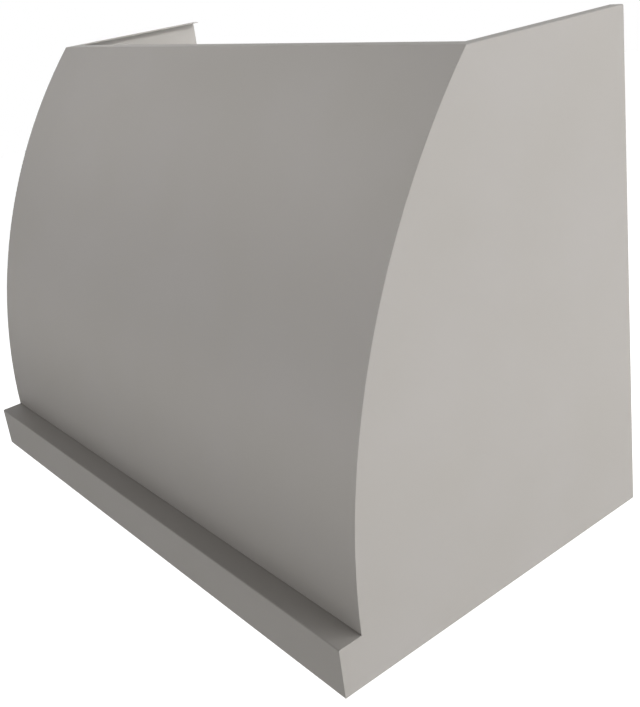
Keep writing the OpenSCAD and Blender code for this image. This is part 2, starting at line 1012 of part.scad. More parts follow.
module fan_shaft() {
    color(zinc)
        rod([(shaft_x0 + shaft_x1) / 2, blower_y, blower_axis_z], "x", motor_shaft_r, shaft_x1 - shaft_x0);
}

// One forward-curved blade, seen along the axis
module blade() {
    intersection() {
        translate([impeller_r - 0.65 * blade_d, blade_curve - blade_t])
            difference() {
                circle(blade_curve);
                circle(blade_curve - blade_t);
            }
        translate([impeller_r - blade_d, -blade_t])
            square([blade_d - 1, blade_curve / 2]);
    }
}

// Middle disc with its hub, inside the blades
module impeller_disc() {
    color(galvanised)
        translate([0, blower_y, blower_axis_z])
            difference() {
                union() {
                    rod([0, 0, 0], "x", impeller_r - blade_d, disc_t);
                    rod([0, 0, 0], "x", hub_r, hub_w);
                }
                rod([0, 0, 0], "x", motor_shaft_r + rod_gap / 2, 2 * hub_w);
            }
}

// The ring at each end of the blades
module impeller_rings() {
    color(galvanised)
        translate([0, blower_y, blower_axis_z])
            for (side = [-1, 1])
                tube([side * (impeller_w - ring_t) / 2, 0, 0], "x", impeller_r, impeller_r - blade_d, ring_t);
}

// The blades, from ring to ring, with the disc between their inner edges
module impeller_blades() {
    color(galvanised)
        translate([0, blower_y, blower_axis_z])
            along_x(impeller_w - 2 * ring_t)
                for (k = [0:blades - 1])
                    rotate(k * 360 / blades)
                        blade();
}

// Plain block with two ears on the air box's back wall, beside the blower
module capacitor() {
    size = [54, 30, 34];
    ear = [9, 2, 17];
    color(white)
        translate([-capacitor_x, plenum_y1, capacitor_z]) {
            block([-size[0] / 2, -size[1], 0], [size[0] / 2, 0, size[2]]);
            block([-size[0] / 2 - ear[0], -ear[1], 0], [size[0] / 2 + ear[0], 0, ear[2]]);
        }
}

// Walls between the blower's outlet and the plate, with a flange out at the foot and one in at the top
module outlet_box() {
    o = outlet_x + liner_t;
    f = o + outlet_flange;
    i = outlet_x - outlet_flange;
    color(galvanised)
        difference() {
            translate([0, -duct_y, 0])
                difference() {
                    union() {
                        block([-o, -o, plenum_lid], [o, o, outlet_z - liner_t]);
                        block([-f, -f, plenum_lid], [f, f, plenum_lid + liner_t]);
                    }
                    block([-outlet_x, -outlet_x, 0], [outlet_x, outlet_x, outlet_z - 2 * liner_t]);
                    block([-i, -i, 0], [i, i, outlet_z]);
                }
            at_outlet_screws()
                screw_hole();
            at_plate_screws()
                screw_hole();
        }
}

// Square plate with the round way out, under the collar
module outlet_plate() {
    o = outlet_x + liner_t;
    color(galvanised)
        difference() {
            block([-o, -o - duct_y, outlet_z - liner_t], [o, o - duct_y, outlet_z]);
            rod([0, -duct_y, outlet_z], "z", collar_r - collar_t, 20);
            at_plate_screws()
                screw_hole();
            at_collar_screws()
                screw_hole();
        }
}

// Does what follows at the four corners of a square round the duct's axis
module at_corners(reach, z) {
    for (x = [-reach, reach], y = [-reach, reach])
        translate([x, y - duct_y, z])
            children();
}

// Screws through the corners of the foot flange
module at_outlet_screws() {
    at_corners(outlet_x + liner_t + outlet_flange / 2, plenum_lid + liner_t)
        children();
}

// Screws through the corners of the plate
module at_plate_screws() {
    at_corners(outlet_x - outlet_flange / 2, outlet_z)
        children();
}

// Screws through the collar's flange
module at_collar_screws() {
    translate([0, -duct_y, outlet_z + collar_t])
        for (a = [45:90:315])
            rotate(a)
                translate([collar_r + collar_flange / 2 + 1, 0, 0])
                    children();
}

// Round stub with a base flange, and a bead inside that the flaps lie on
module duct_collar() {
    color(galvanised)
        difference() {
            translate([0, -duct_y, outlet_z])
                rotate_extrude() {
                    translate([collar_r - collar_t, 0])
                        square([collar_flange + collar_t, collar_t]);
                    translate([collar_r - collar_t, 0])
                        square([collar_t, collar_h]);
                    translate([collar_r - collar_t - bead_w, damper_z - outlet_z - flap_t / 2 - gap - bead_t])
                        square([bead_w + collar_t / 2, bead_t]);
                }
            rod([0, -duct_y, damper_z], "y", damper_rod_r + rod_gap, 4 * collar_r);
            at_collar_screws()
                screw_hole();
        }
}

// Rod across the collar, flush with its outside
module damper_rod() {
    color(zinc)
        translate([0, -duct_y, damper_z])
            rotate([90, 0, 0])
                cylinder(r = damper_rod_r, h = 2 * collar_r - 1, center = true);
}

// Half a round sheet with two knuckles, one at each end of the other flap's
module damper_flap(side) {
    color(stainless)
        translate([0, -duct_y, damper_z])
            rotate(side < 0 ? 0 : 180)
                flap_shape();
}

// The flap on the -X side
module flap_shape() {
    difference() {
        union() {
            intersection() {
                rod([0, 0, 0], "z", flap_r, flap_t);
                block([-flap_r, -flap_r, -flap_t], [-flap_edge, flap_r, flap_t]);
            }
            for (k = [-1.5, 0.5])
                translate([0, k * flap_knuckle_pitch, 0]) {
                    rod([0, 0, 0], "y", flap_knuckle_r, flap_knuckle_w);
                    block([-flap_edge - 1, -flap_knuckle_w / 2, -flap_t / 2],
                          [0, flap_knuckle_w / 2, flap_t / 2]);
                }
        }
        rod([0, 0, 0], "y", damper_rod_r + rod_gap, 4 * flap_r);
    }
}

module damper_flap_left() {
    damper_flap(-1);
}

module damper_flap_right() {
    damper_flap(1);
}

// Does what follows at each lamp, with the origin at a height
module at_lamps(z) {
    for (side = [-1, 1])
        translate([side * lamp_x, strip_y, z])
            children();
}

// Finned heat sinks on their cores, seated on the bezels' necks
module lamp_housings() {
    fins = floor((lamp_sink_h - sink_base) / fin_pitch);
    color(black)
        at_lamps(deck_top)
            rotate_extrude() {
                square([lamp_sink_r, sink_base]);
                square([core_r, lamp_sink_h]);
                for (k = [1:fins])
                    translate([0, sink_base + k * fin_pitch - fin_t])
                        square([lamp_sink_r, fin_t]);
            }
}

// Rings with a neck through the deck and a step that holds the lens
module lamp_bezels() {
    bevel = bezel_t / 2;
    r = lamp_bezel_r;
    color(stainless)
        at_lamps(deck_z)
            rotate_extrude()
                difference() {
                    union() {
                        polygon([[0, 0], [0, -bezel_t], [r - bevel, -bezel_t], [r, -bevel], [r, 0]]);
                        translate([0, -bevel])
                            square([lamp_hole_r - gap, bevel + liner_t]);
                    }
                    translate([0, -bezel_t])
                        square([lamp_lens_r - lens_lip, bezel_t + liner_t]);
                    translate([0, -bezel_t + lens_step])
                        square([lamp_lens_r + gap, bezel_t + liner_t]);
                }
}

// Round lenses on the bezels' steps, under the heat sinks
module lamp_lenses() {
    color(white)
        at_lamps(deck_z - bezel_t + lens_step)
            cylinder(r = lamp_lens_r, h = bezel_t - lens_step + liner_t);
}

// Plate under the deck behind the knobs
module control_plate() {
    color(black)
        difference() {
            block([-control_w / 2, strip_y - control_d / 2, plate_z],
                  [control_w / 2, strip_y + control_d / 2, deck_z]);
            for (side = [-1, 1])
                rod([side * knob_x, strip_y, deck_z], "z", bush_r + gap, 20);
        }
}

// Cover over the switches, with holes for three cables
module control_cover() {
    z1 = deck_top + cover_h;
    w = control_w / 2;
    d = cover_d / 2;
    t = cover_t;
    color(galvanised)
        difference() {
            block([-w, strip_y - d, deck_top], [w, strip_y + d, z1]);
            block([-w + t, strip_y - d + t, 0], [w - t, strip_y + d - t, z1 - t]);
            rod([0, lamp_cable_y, lamp_cable_z], "x", cable_r + gap, 2 * w + 20);
            rod([-w, control_cable_y, control_cable_z], "x", cable_r + gap, 20);
        }
}

// Body of a switch on the deck, with the bushing that goes down through deck and plate
module switch_body(side) {
    color(black)
        translate([side * knob_x, strip_y, 0])
            difference() {
                union() {
                    block([-switch_w / 2, -switch_w / 2, deck_top],
                          [switch_w / 2, switch_w / 2, deck_top + switch_h]);
                    translate([0, 0, plate_z])
                        cylinder(r = bush_r, h = deck_top - plate_z);
                }
                translate([0, 0, plate_z - 1])
                    cylinder(r = stem_r + rod_gap, h = deck_top + switch_h - 4 - plate_z + 1);
            }
}

module fan_switch() {
    switch_body(1);
}

module light_dimmer() {
    switch_body(-1);
}

// Knob with a hollow under its skirt, a grip across its face and a pointer
module knob(side) {
    skirt_h = 5;
    grip_w = 11;
    color(black)
        translate([side * knob_x, strip_y, knob_z0])
            difference() {
                union() {
                    translate([0, 0, knob_h - skirt_h])
                        cylinder(r = knob_r, h = skirt_h);
                    cylinder(r1 = knob_r - 4, r2 = knob_r - 2, h = knob_h - skirt_h);
                    block([-1, -knob_r + 0.5, knob_h - skirt_h - 1], [1, -knob_r + 3, knob_h - skirt_h]);
                }
                for (edge = [-1, 1])
                    translate([edge * (grip_w / 2 + knob_r), 0, -1])
                        block([-knob_r, -knob_r, 0], [knob_r, knob_r, knob_h - skirt_h - 3]);
                translate([0, 0, 3])
                    cylinder(r = stem_r + rod_gap, h = knob_h);
            }
}

module fan_knob() {
    knob(1);
}

module light_knob() {
    knob(-1);
}

// Stem between a knob and its switch
module knob_stem(side) {
    color(zinc)
        translate([side * knob_x, strip_y, knob_z0 + 3 + gap])
            cylinder(r = stem_r, h = deck_top + switch_h - 4 - gap - (knob_z0 + 3 + gap));
}

module fan_knob_stem() {
    knob_stem(1);
}

module light_knob_stem() {
    knob_stem(-1);
}

// Open box on the air box, with two tabs for its lid and holes for the supply and two cables
module junction_box() {
    t = junction_t;
    w = junction_w / 2;
    d = junction_d / 2;
    color(galvanised)
        difference() {
            translate([-junction_x, junction_y, plenum_lid]) {
                difference() {
                    block([-w, -d, 0], [w, d, junction_h]);
                    block([-w + t, -d + t, t], [w - t, d - t, 2 * junction_h]);
                }
                for (x = [-w + t / 2, w - t / 2 - junction_tab])
                    block([x, -junction_tab / 2, junction_h - t],
                          [x + junction_tab, junction_tab / 2, junction_h]);
            }
            rod([-junction_x, junction_y + d, inlet_z], "y", knockout_r, 6 * t);
            rod([-junction_x, junction_y - d, box_cable_z], "y", cable_r + gap, 6 * t);
            rod([-junction_x + w, junction_y, box_cable_z], "x", cable_r + gap, 6 * t);
            at_cover_screws()
                screw_hole();
        }
}

// Lid of the junction box
module junction_cover() {
    color(galvanised)
        difference() {
            translate([-junction_x, junction_y, plenum_lid + junction_h])
                block([-junction_w / 2, -junction_d / 2, 0], [junction_w / 2, junction_d / 2, junction_t]);
            at_cover_screws()
                screw_hole();
        }
}

// The two screws of that lid
module at_cover_screws() {
    x = junction_w / 2 - junction_tab / 2;
    for (side = [-1, 1])
        translate([side * x - junction_x, junction_y, plenum_lid + junction_h + junction_t])
            children();
}

// Bushing for the supply, held in the box's knockout
module cable_clamp() {
    r = clamp_flange_r;
    color(zinc)
        translate([-junction_x, junction_y + junction_d / 2, inlet_z])
            difference() {
                union() {
                    rod([0, clamp_y1 - clamp_l / 2, 0], "y", knockout_r - gap / 2, clamp_l);
                    rod([0, clamp_flange_t / 2, 0], "y", r, clamp_flange_t);
                    rod([0, -junction_t - clamp_nut_t / 2, 0], "y", r, clamp_nut_t);
                }
                rod([0, 0, 0], "y", inlet_bore_r, 4 * clamp_l);
            }
}

// Supply of the lamps, on the deck between controls and right lamp
module led_driver() {
    color(white)
        translate([driver_x, strip_y, deck_top]) {
            block([-driver_body, -driver_d / 2, 0], [driver_body, driver_d / 2, driver_h]);
            block([-driver_w / 2, -driver_d / 2, 0], [driver_w / 2, driver_d / 2, liner_t]);
        }
}

// A quarter bend of cable. It starts at the origin along +X and ends along +Y.
module cable_elbow() {
    translate([0, cable_bend, 0])
        rotate_extrude(angle = 90, start = 270)
            translate([cable_bend, 0])
                circle(cable_r, $fn = 32);
}

// From the junction box over the air box, down its front and into the controls' cover
module control_cable() {
    y0 = junction_y - junction_d / 2 + junction_t;
    x = -junction_x;
    b = cable_bend;
    cover_x = -control_w / 2 + cover_t;
    color(black) {
        translate([x, y0, box_cable_z])
            rotate([90, 0, 0])
                cylinder(r = cable_r, h = y0 - control_cable_y - b);
        translate([x, control_cable_y + b, box_cable_z])
            rotate([-90, 0, -90])
                cable_elbow();
        translate([x, control_cable_y, control_cable_z + b])
            cylinder(r = cable_r, h = box_cable_z - control_cable_z - 2 * b);
        translate([x, control_cable_y, control_cable_z + b])
            rotate([90, 90, 0])
                cable_elbow();
        translate([x + b, control_cable_y, control_cable_z])
            rotate([0, 90, 0])
                cylinder(r = cable_r, h = cover_x - x - b);
    }
}

// From the junction box through the lid and down to the motor's end
module motor_cable() {
    x0 = -junction_x + junction_w / 2 - junction_t;
    b = cable_bend;
    color(black)
        translate([0, blower_y, 0]) {
            translate([x0, 0, box_cable_z])
                rotate([0, 90, 0])
                    cylinder(r = cable_r, h = motor_cable_x - b - x0);
            translate([motor_cable_x - b, 0, box_cable_z])
                rotate([-90, 0, 0])
                    cable_elbow();
            translate([motor_cable_x, 0, blower_axis_z + b])
                cylinder(r = cable_r, h = box_cable_z - blower_axis_z - 2 * b);
            translate([motor_cable_x, 0, blower_axis_z + b])
                rotate([90, 90, 0])
                    cable_elbow();
            translate([motor_cable_x + b, 0, blower_axis_z])
                rotate([0, 90, 0])
                    cylinder(r = cable_r, h = motor_x0 - motor_cable_x - b);
        }
}

// Straight runs: cover to left lamp, cover to driver, driver to right lamp
module lamp_cables() {
    w = control_w / 2 - cover_t;
    lamp_end = lamp_x - lamp_sink_r;
    color(black)
        for (run = [[-lamp_end, -w], [w, driver_x - driver_body], [driver_x + driver_body, lamp_end]])
            rod([(run[0] + run[1]) / 2, lamp_cable_y, lamp_cable_z], "x", cable_r, run[1] - run[0]);
}

// The sheet-metal screws of air box, blower, outlet, collar and junction box
module sheet_screws() {
    color(zinc) {
        at_lid_screws()
            screw();
        at_blower_screws()
            screw();
        at_outlet_screws()
            screw();
        at_plate_screws()
            screw();
        at_collar_screws()
            screw();
        at_cover_screws()
            screw();
        translate([0, blower_y, blower_axis_z])
            mirror([1, 0, 0])
                at_bracket_feet()
                    translate([0, 0, arm_t])
                        screw();
    }
}

side_panel_left();
side_panel_right();
front_panel();
apron();
rear_rail();
hanging_rail();
wall_cleat();
liner_skirt();
filter_deck();
liner_screws();
hinge_brackets();
hinge_rod();
magnet_catches();
filter_frame_left();
filter_frame_middle();
filter_frame_right();
filter_baffles_left();
filter_baffles_middle();
filter_baffles_right();
plenum_front();
plenum_back();
plenum_left();
plenum_right();
plenum_top();
scroll_wrapper();
scroll_side_left();
scroll_side_right();
motor();
motor_bracket();
capacitor();
fan_shaft();
impeller_disc();
impeller_rings();
impeller_blades();
outlet_box();
outlet_plate();
duct_collar();
damper_rod();
damper_flap_left();
damper_flap_right();
lamp_housings();
lamp_bezels();
lamp_lenses();
control_plate();
control_cover();
fan_switch();
light_dimmer();
fan_knob();
light_knob();
fan_knob_stem();
light_knob_stem();
junction_box();
junction_cover();
cable_clamp();
led_driver();
control_cable();
motor_cable();
lamp_cables();
sheet_screws();
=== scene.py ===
"""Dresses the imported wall-mounted range hood: detailed pieces, finishes, studio light and camera.

Sizes are in millimetres in the row frame (X to the right, Y to the wall, Z up) until a piece is
finished, which brings its mesh to metres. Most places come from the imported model's own boxes.
"""
from __future__ import annotations

import logging
import math
from collections.abc import Iterable, Sequence
from dataclasses import dataclass
from enum import Enum

import bmesh
import bpy
from bpy.types import Material, Node, NodeSocket, NodeTree
from mathutils import Matrix, Vector


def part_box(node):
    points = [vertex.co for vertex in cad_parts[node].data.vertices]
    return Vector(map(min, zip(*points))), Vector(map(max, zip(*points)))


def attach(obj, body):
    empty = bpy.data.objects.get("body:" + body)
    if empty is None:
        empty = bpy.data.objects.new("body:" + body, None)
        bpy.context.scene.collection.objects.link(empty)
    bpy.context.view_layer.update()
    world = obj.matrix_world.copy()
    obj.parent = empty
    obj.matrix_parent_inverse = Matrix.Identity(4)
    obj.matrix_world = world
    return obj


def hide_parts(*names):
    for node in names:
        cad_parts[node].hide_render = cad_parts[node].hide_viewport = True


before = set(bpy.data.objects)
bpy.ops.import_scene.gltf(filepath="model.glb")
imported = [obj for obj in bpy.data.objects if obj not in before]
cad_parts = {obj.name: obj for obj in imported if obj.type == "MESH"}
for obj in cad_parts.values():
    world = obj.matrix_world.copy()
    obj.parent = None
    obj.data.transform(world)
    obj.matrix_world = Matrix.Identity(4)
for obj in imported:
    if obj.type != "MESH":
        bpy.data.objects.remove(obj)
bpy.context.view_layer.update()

LOG = logging.getLogger("range_hood")
MM = 0.001
HOOD = "hood"
FOLDED = 1.0  # crisp angle in degrees for folded sheets, whose tight bends look right with flat facets
WELD = 0.001  # points of a made mesh that are nearer than this are one
Place = tuple[float, float, float]
Outline = Sequence[tuple[float, float]]


class Axis(Enum):
    """The directions of the row frame."""

    X = (1.0, 0.0, 0.0)
    Y = (0.0, 1.0, 0.0)
    Z = (0.0, 0.0, 1.0)

    @property
    def along(self) -> Vector:
        """The direction itself."""
        return Vector(self.value)

    @property
    def side(self) -> Vector:
        """The first of the other two directions, in the order X, Y, Z."""
        return Vector(next(axis.value for axis in Axis if axis is not self))


class Side(Enum):
    """Where a filter or a flap is, seen from the front."""

    LEFT = "left"
    MIDDLE = "middle"
    RIGHT = "right"


class Knob(Enum):
    """The two knobs, by what they turn."""

    FAN = "fan"
    LIGHT = "light"


def span(node: str) -> tuple[Vector, Vector]:
    """Lowest and highest corner of a CAD node.

    Args:
        node: Name of the node.

    Returns:
        The two corners in millimetres.
    """
    low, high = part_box(node)
    return low / MM, high / MM


def linear(code: str) -> tuple[float, float, float, float]:
    """Turns an sRGB hex colour to linear light.

    Args:
        code: Colour such as "#b9b5b0".

    Returns:
        Red, green, blue and an alpha of 1.
    """
    parts = [int(code[i:i + 2], 16) / 255 for i in (1, 3, 5)]
    light = [p / 12.92 if p <= 0.04045 else ((p + 0.055) / 1.055) ** 2.4 for p in parts]
    return light[0], light[1], light[2], 1.0


def add(tree: NodeTree, kind: str, settings: dict[str | int, object] | None = None) -> Node:
    """Adds a node with its settings and links.

    Args:
        tree: Node tree that gets the node.
        kind: Type of the node, without the leading "ShaderNode".
        settings: Values by name, the node's own properties first. A socket of another node is
            linked, and a plain value is set on the socket of that name or number.

    Returns:
        The new node.
    """
    node = tree.nodes.new("ShaderNode" + kind)
    for name, value in (settings or {}).items():
        if isinstance(name, str) and name not in node.inputs:
            setattr(node, name, value)
        elif isinstance(value, NodeSocket):
            tree.links.new(value, node.inputs[name])
        else:
            node.inputs[name].default_value = value
    return node


class Coat:
    """A material while its finish is put on: a Principled shader on Object coordinates in metres."""

    low, high = 0.3, 0.7  # most of a noise lies between these values

    def __init__(self, name: str, colour: str, roughness: float) -> None:
        """Starts with a plain shader.

        Args:
            name: Name of the material.
            colour: Base colour in sRGB hex.
            roughness: Roughness of the shader.
        """
        self.material = bpy.data.materials.new(name)
        self.material.use_nodes = True
        self.tree, self.roughness = self.material.node_tree, roughness
        self.tree.nodes.clear()
        self.shader = add(self.tree, "BsdfPrincipled", {"Base Color": linear(colour), "Roughness": roughness})
        self.output = add(self.tree, "OutputMaterial", {"Surface": self.shader.outputs["BSDF"]})
        self.place = add(self.tree, "TexCoord").outputs["Object"]

    def metal(self) -> None:
        """Makes the shader a bare metal."""
        self.shader.inputs["Metallic"].default_value = 1.0

    def stretched(self, scale: Sequence[float]) -> NodeSocket:
        """Object coordinates, scaled so that a pattern on them is drawn out."""
        return add(self.tree, "Mapping", {"Vector": self.place, "Scale": scale}).outputs["Vector"]

    def noise(self, size: float, detail: float = 2.0, place: NodeSocket | None = None) -> NodeSocket:
        """A soft noise.

        Args:
            size: Size of its features in millimetres.
            detail: Octaves of finer noise.
            place: Its coordinates, if they aren't the plain ones.

        Returns:
            The noise from 0 to 1.
        """
        return add(self.tree, "TexNoise", {
            "Vector": place or self.place, "Scale": 1 / (size * MM), "Detail": detail}).outputs["Fac"]

    def cells(self, size: float, place: NodeSocket | None = None, randomness: float = 1.0) -> Node:
        """Cells that touch, such as crystals or prisms.

        Args:
            size: Size of a cell in millimetres.
            place: Their coordinates, if they aren't the plain ones.
            randomness: 0 for a regular grid, 1 for cells at random.

        Returns:
            The node, with a random colour for each cell and the distance from its middle.
        """
        return add(self.tree, "TexVoronoi", {
            "Vector": place or self.place, "Scale": 1 / (size * MM), "Randomness": randomness})

    def squeezed(self, even: NodeSocket) -> NodeSocket:
        """Brings evenly spread values from 0 to 1 to the range in which most of a noise lies."""
        mapped = add(self.tree, "MapRange", {"Value": even, "To Min": self.low, "To Max": self.high})
        return mapped.outputs["Result"]

    def tint(self, driver: NodeSocket, dark: str, pale: str) -> None:
        """Lets a pattern move the base colour between two near shades.

        Args:
            driver: The pattern from 0 to 1.
            dark: Shade at the pattern's low values.
            pale: Shade at its high values.
        """
        ramp = add(self.tree, "ValToRGB", {"Fac": driver})
        for stop, position, shade in zip(ramp.color_ramp.elements, (self.low, self.high), (dark, pale)):
            stop.position, stop.color = position, linear(shade)
        self.tree.links.new(ramp.outputs["Color"], self.shader.inputs["Base Color"])

    def gloss(self, driver: NodeSocket, less: float, more: float) -> None:
        """Lets a pattern move the roughness.

        Args:
            driver: The pattern from 0 to 1.
            less: How much smoother its low values are.
            more: How much rougher its high values are.
        """
        mapped = add(self.tree, "MapRange", {
            "Value": driver, "From Min": self.low, "From Max": self.high,
            "To Min": self.roughness - less, "To Max": self.roughness + more})
        self.tree.links.new(mapped.outputs["Result"], self.shader.inputs["Roughness"])

    def relief(self, driver: NodeSocket, depth: float, strength: float) -> None:
        """Turns a pattern to a bump.

        Args:
            driver: The pattern from 0 to 1.
            depth: Height of the pattern in millimetres.
            strength: How much of it shows.
        """
        bump = add(self.tree, "Bump", {"Height": driver, "Distance": depth * MM, "Strength": strength})
        self.tree.links.new(bump.outputs["Normal"], self.shader.inputs["Normal"])


@dataclass(frozen=True)
class Finish:
    """A surface finish. The base class gives a plain shader.

    Attributes:
        name: Name of the material, in a maker's words.
        slot: The record's material slot.
        colour: Base colour in sRGB hex.
        roughness: Roughness of the shader.
    """

    name: str
    slot: str
    colour: str
    roughness: float

    def material(self) -> Material:
        """Makes the material on its first use.

        Returns:
            The material.
        """
        made = bpy.data.materials.get(self.name)
        if made is None:
            coat = Coat(self.name, self.colour, self.roughness)
            self.dress(coat)
            made = coat.material
        return made

    def dress(self, coat: Coat) -> None:
        """Adds what the finish shows to its coat."""


@dataclass(frozen=True)
class PowderCoat(Finish):
    """Baked powder paint on steel: matt, even, with a faint orange peel.

    Attributes:
        peel: Size of the peel's waves.
        tooth: Size of the paint's fine tooth.
        cloud: Size of the clouds in its shade.
    """

    peel: float = 2.2
    tooth: float = 0.9
    cloud: float = 140.0

    def dress(self, coat: Coat) -> None:
        """Adds faint clouds in the shade, the fine tooth in the gloss and the peel.

        Args:
            coat: The coat that takes them.
        """
        coat.shader.inputs["Specular IOR Level"].default_value = 0.35
        coat.tint(coat.noise(self.cloud, 1), "#b8b4af", "#bab6b2")
        coat.gloss(coat.noise(self.tooth, 3), 0.04, 0.06)
        coat.relief(coat.noise(self.peel), 0.03, 0.35)


@dataclass(frozen=True)
class BrushedSteel(Finish):
    """Stainless sheet brushed along one direction: fine long scratches that stretch the highlights.

    Attributes:
        grain: Direction of the brushing.
        pitch: Width of a scratch, coarser than the real 0.1 so that it shows.
        drawn: Width of a scratch as a share of its length.
    """

    grain: Axis = Axis.X
    pitch: float = 0.9
    drawn: float = 0.02

    def dress(self, coat: Coat) -> None:
        """Adds the scratches to shade, roughness and relief.

        Args:
            coat: The coat that takes them.
        """
        coat.metal()
        lengthwise = coat.stretched([self.drawn if axis is self.grain else 1.0 for axis in Axis])
        scratch = coat.noise(self.pitch, 4, lengthwise)
        coat.tint(scratch, "#8d9093", "#aeb1b3")
        coat.gloss(scratch, 0.07, 0.1)
        coat.relief(scratch, 0.02, 0.25)


@dataclass(frozen=True)
class Galvanised(Finish):
    """Hot-dip galvanised sheet: frozen zinc crystals, each a little lighter or duller than the next.

    Attributes:
        spangle: Size of a crystal.
        waves: Number of waves per metre that roughen the crystals' edges.
        warp: How far they move an edge, in metres.
        grain: Size of the finer grain over the crystals.
    """

    spangle: float = 12.0
    waves: float = 260.0
    warp: float = 0.002
    grain: float = 1.5

    def dress(self, coat: Coat) -> None:
        """Adds the crystals in shade and roughness, with a finer grain over them.

        Args:
            coat: The coat that takes them.
        """
        coat.metal()
        wave = add(coat.tree, "TexNoise", {"Vector": coat.place, "Scale": self.waves}).outputs["Color"]
        bent = add(coat.tree, "VectorMath", {
            "operation": "MULTIPLY_ADD", 0: wave, 1: (self.warp,) * 3, 2: coat.place}).outputs["Vector"]
        crystals = coat.cells(self.spangle, bent).outputs["Color"]
        lots = add(coat.tree, "SeparateColor", {"Color": crystals}).outputs
        coat.tint(coat.squeezed(lots["Red"]), "#999fa3", "#adb2b6")
        coat.gloss(coat.squeezed(lots["Green"]), 0.03, 0.04)
        coat.relief(coat.noise(self.grain, 3), 0.02, 0.3)


@dataclass(frozen=True)
class ZincPlate(Finish):
    """Zinc-plated steel: bright, with a faint straw tint in patches.

    Attributes:
        patch: Size of a patch.
        grain: Size of the drawn steel's grain under the zinc.
    """

    patch: float = 6.0
    grain: float = 0.8

    def dress(self, coat: Coat) -> None:
        """Adds the tinted patches and the grain.

        Args:
            coat: The coat that takes them.
        """
        coat.metal()
        coat.tint(coat.noise(self.patch), "#b0b4b8", "#b9b9b4")
        fine = coat.noise(self.grain, 3)
        coat.gloss(fine, 0.06, 0.1)
        coat.relief(fine, 0.01, 0.3)


@dataclass(frozen=True)
class BlackEnamel(Finish):
    """Dipped black enamel on steel: a soft gloss over slightly wavy metal.

    Attributes:
        wave: Size of the metal's waves.
        dust: Size of the patches of dust in the gloss.
        shade: Size of the patches in the shade.
    """

    wave: float = 3.0
    dust: float = 8.0
    shade: float = 25.0

    def dress(self, coat: Coat) -> None:
        """Adds the shade, the faint dust and the waves.

        Args:
            coat: The coat that takes them.
        """
        coat.tint(coat.noise(self.shade, 3), "#28292b", "#2f3032")
        coat.gloss(coat.noise(self.dust, 3), 0.05, 0.12)
        coat.relief(coat.noise(self.wave), 0.03, 0.4)


@dataclass(frozen=True)
class Grained(Finish):
    """Plastic or ink with a fine grain that breaks its highlights.

    Attributes:
        dark: Darker shade in the grain.
        pale: Lighter shade in it.
        grain: Size of the grain.
        depth: Its depth.
        strength: How much of its relief shows.
        ior: Index of refraction.
    """

    dark: str
    pale: str
    grain: float
    depth: float
    strength: float
    ior: float = 1.5

    def dress(self, coat: Coat) -> None:
        """Adds the grain in shade and relief.

        Args:
            coat: The coat that takes them.
        """
        coat.shader.inputs["IOR"].default_value = self.ior
        grain = coat.noise(self.grain, 3)
        coat.tint(grain, self.dark, self.pale)
        coat.relief(grain, self.depth, self.strength)


@dataclass(frozen=True)
class AnodisedAluminium(Finish):
    """Turned aluminium, anodised black: rings from the lathe that catch the light.

    Attributes:
        feed: Distance from ring to ring.
        drawn: How much the noise is drawn out across the lathe's axis.
    """

    feed: float = 0.5
    drawn: float = 0.05

    def dress(self, coat: Coat) -> None:
        """Adds the lathe's rings, as thin layers of height.

        Args:
            coat: The coat that takes them.
        """
        coat.metal()
        rings = coat.noise(self.feed, 3, coat.stretched((self.drawn, self.drawn, 1.0)))
        coat.tint(rings, "#2a2c30", "#3a3c40")
        coat.gloss(rings, 0.08, 0.1)
        coat.relief(rings, 0.02, 0.4)


@dataclass(frozen=True)
class PrismLens(Finish):
    """Opal polycarbonate lens: milky, with small prisms that spread the light.

    Attributes:
        prism: Size of a prism.
        ior: Index of refraction.
        clear: Share of the light that goes through.
    """

    prism: float = 2.5
    ior: float = 1.58
    clear: float = 0.2

    def dress(self, coat: Coat) -> None:
        """Adds the prisms and a little see-through.

        Args:
            coat: The coat that takes them.
        """
        coat.shader.inputs["IOR"].default_value = self.ior
        coat.shader.inputs["Transmission Weight"].default_value = self.clear
        slope = coat.cells(self.prism, randomness=0.0).outputs["Distance"]
        coat.tint(slope, "#f6f6f2", "#e9e9e4")
        coat.relief(slope, 0.3, 0.6)


# Warm grey paint of the shell, nearly without highlights.
PAINT = PowderCoat("powder_coated_steel", "shell_paint", "#b9b5b0", 0.62)
# Lining and filters: streaks along the sheet, and across it on the baffles.
STEEL_X = BrushedSteel("stainless_brushed_along_x", "stainless", "#b8bcbf", 0.32, Axis.X)
STEEL_Y = BrushedSteel("stainless_brushed_along_y", "stainless", "#b8bcbf", 0.32, Axis.Y)
# Air box and blower: a patchwork of dull zinc crystals.
ZINC_SHEET = Galvanised("hot_dip_galvanised_sheet", "galvanised", "#a7adb2", 0.42)
# Fasteners and shafts: the brightest metal.
ZINC = ZincPlate("zinc_plated_steel", "zinc", "#c9ccd0", 0.3)
# Motor: deep black with soft highlights.
ENAMEL = BlackEnamel("black_enamelled_steel", "black_enamel", "#2b2c2e", 0.35)
# Knobs and switches, and the cases of driver and capacitor: the grain of a spark-eroded mould.
BLACK_ABS = Grained("black_moulded_abs", "black_plastic", "#232426", 0.45,
                    "#202123", "#26272a", 0.7, 0.05, 0.5, 1.53)
WHITE_ABS = Grained("white_moulded_abs", "white_plastic", "#e4e4e0", 0.45,
                    "#dfdfdb", "#e9e9e5", 0.7, 0.05, 0.5, 1.53)
# Heat sinks: near black, with a metal's sheen.
SINK = AnodisedAluminium("black_anodised_aluminium", "sink", "#303236", 0.42)
# Lamps: pale and soft.
LENS = PrismLens("opal_prismatic_polycarbonate", "lens", "#f2f2ee", 0.3)
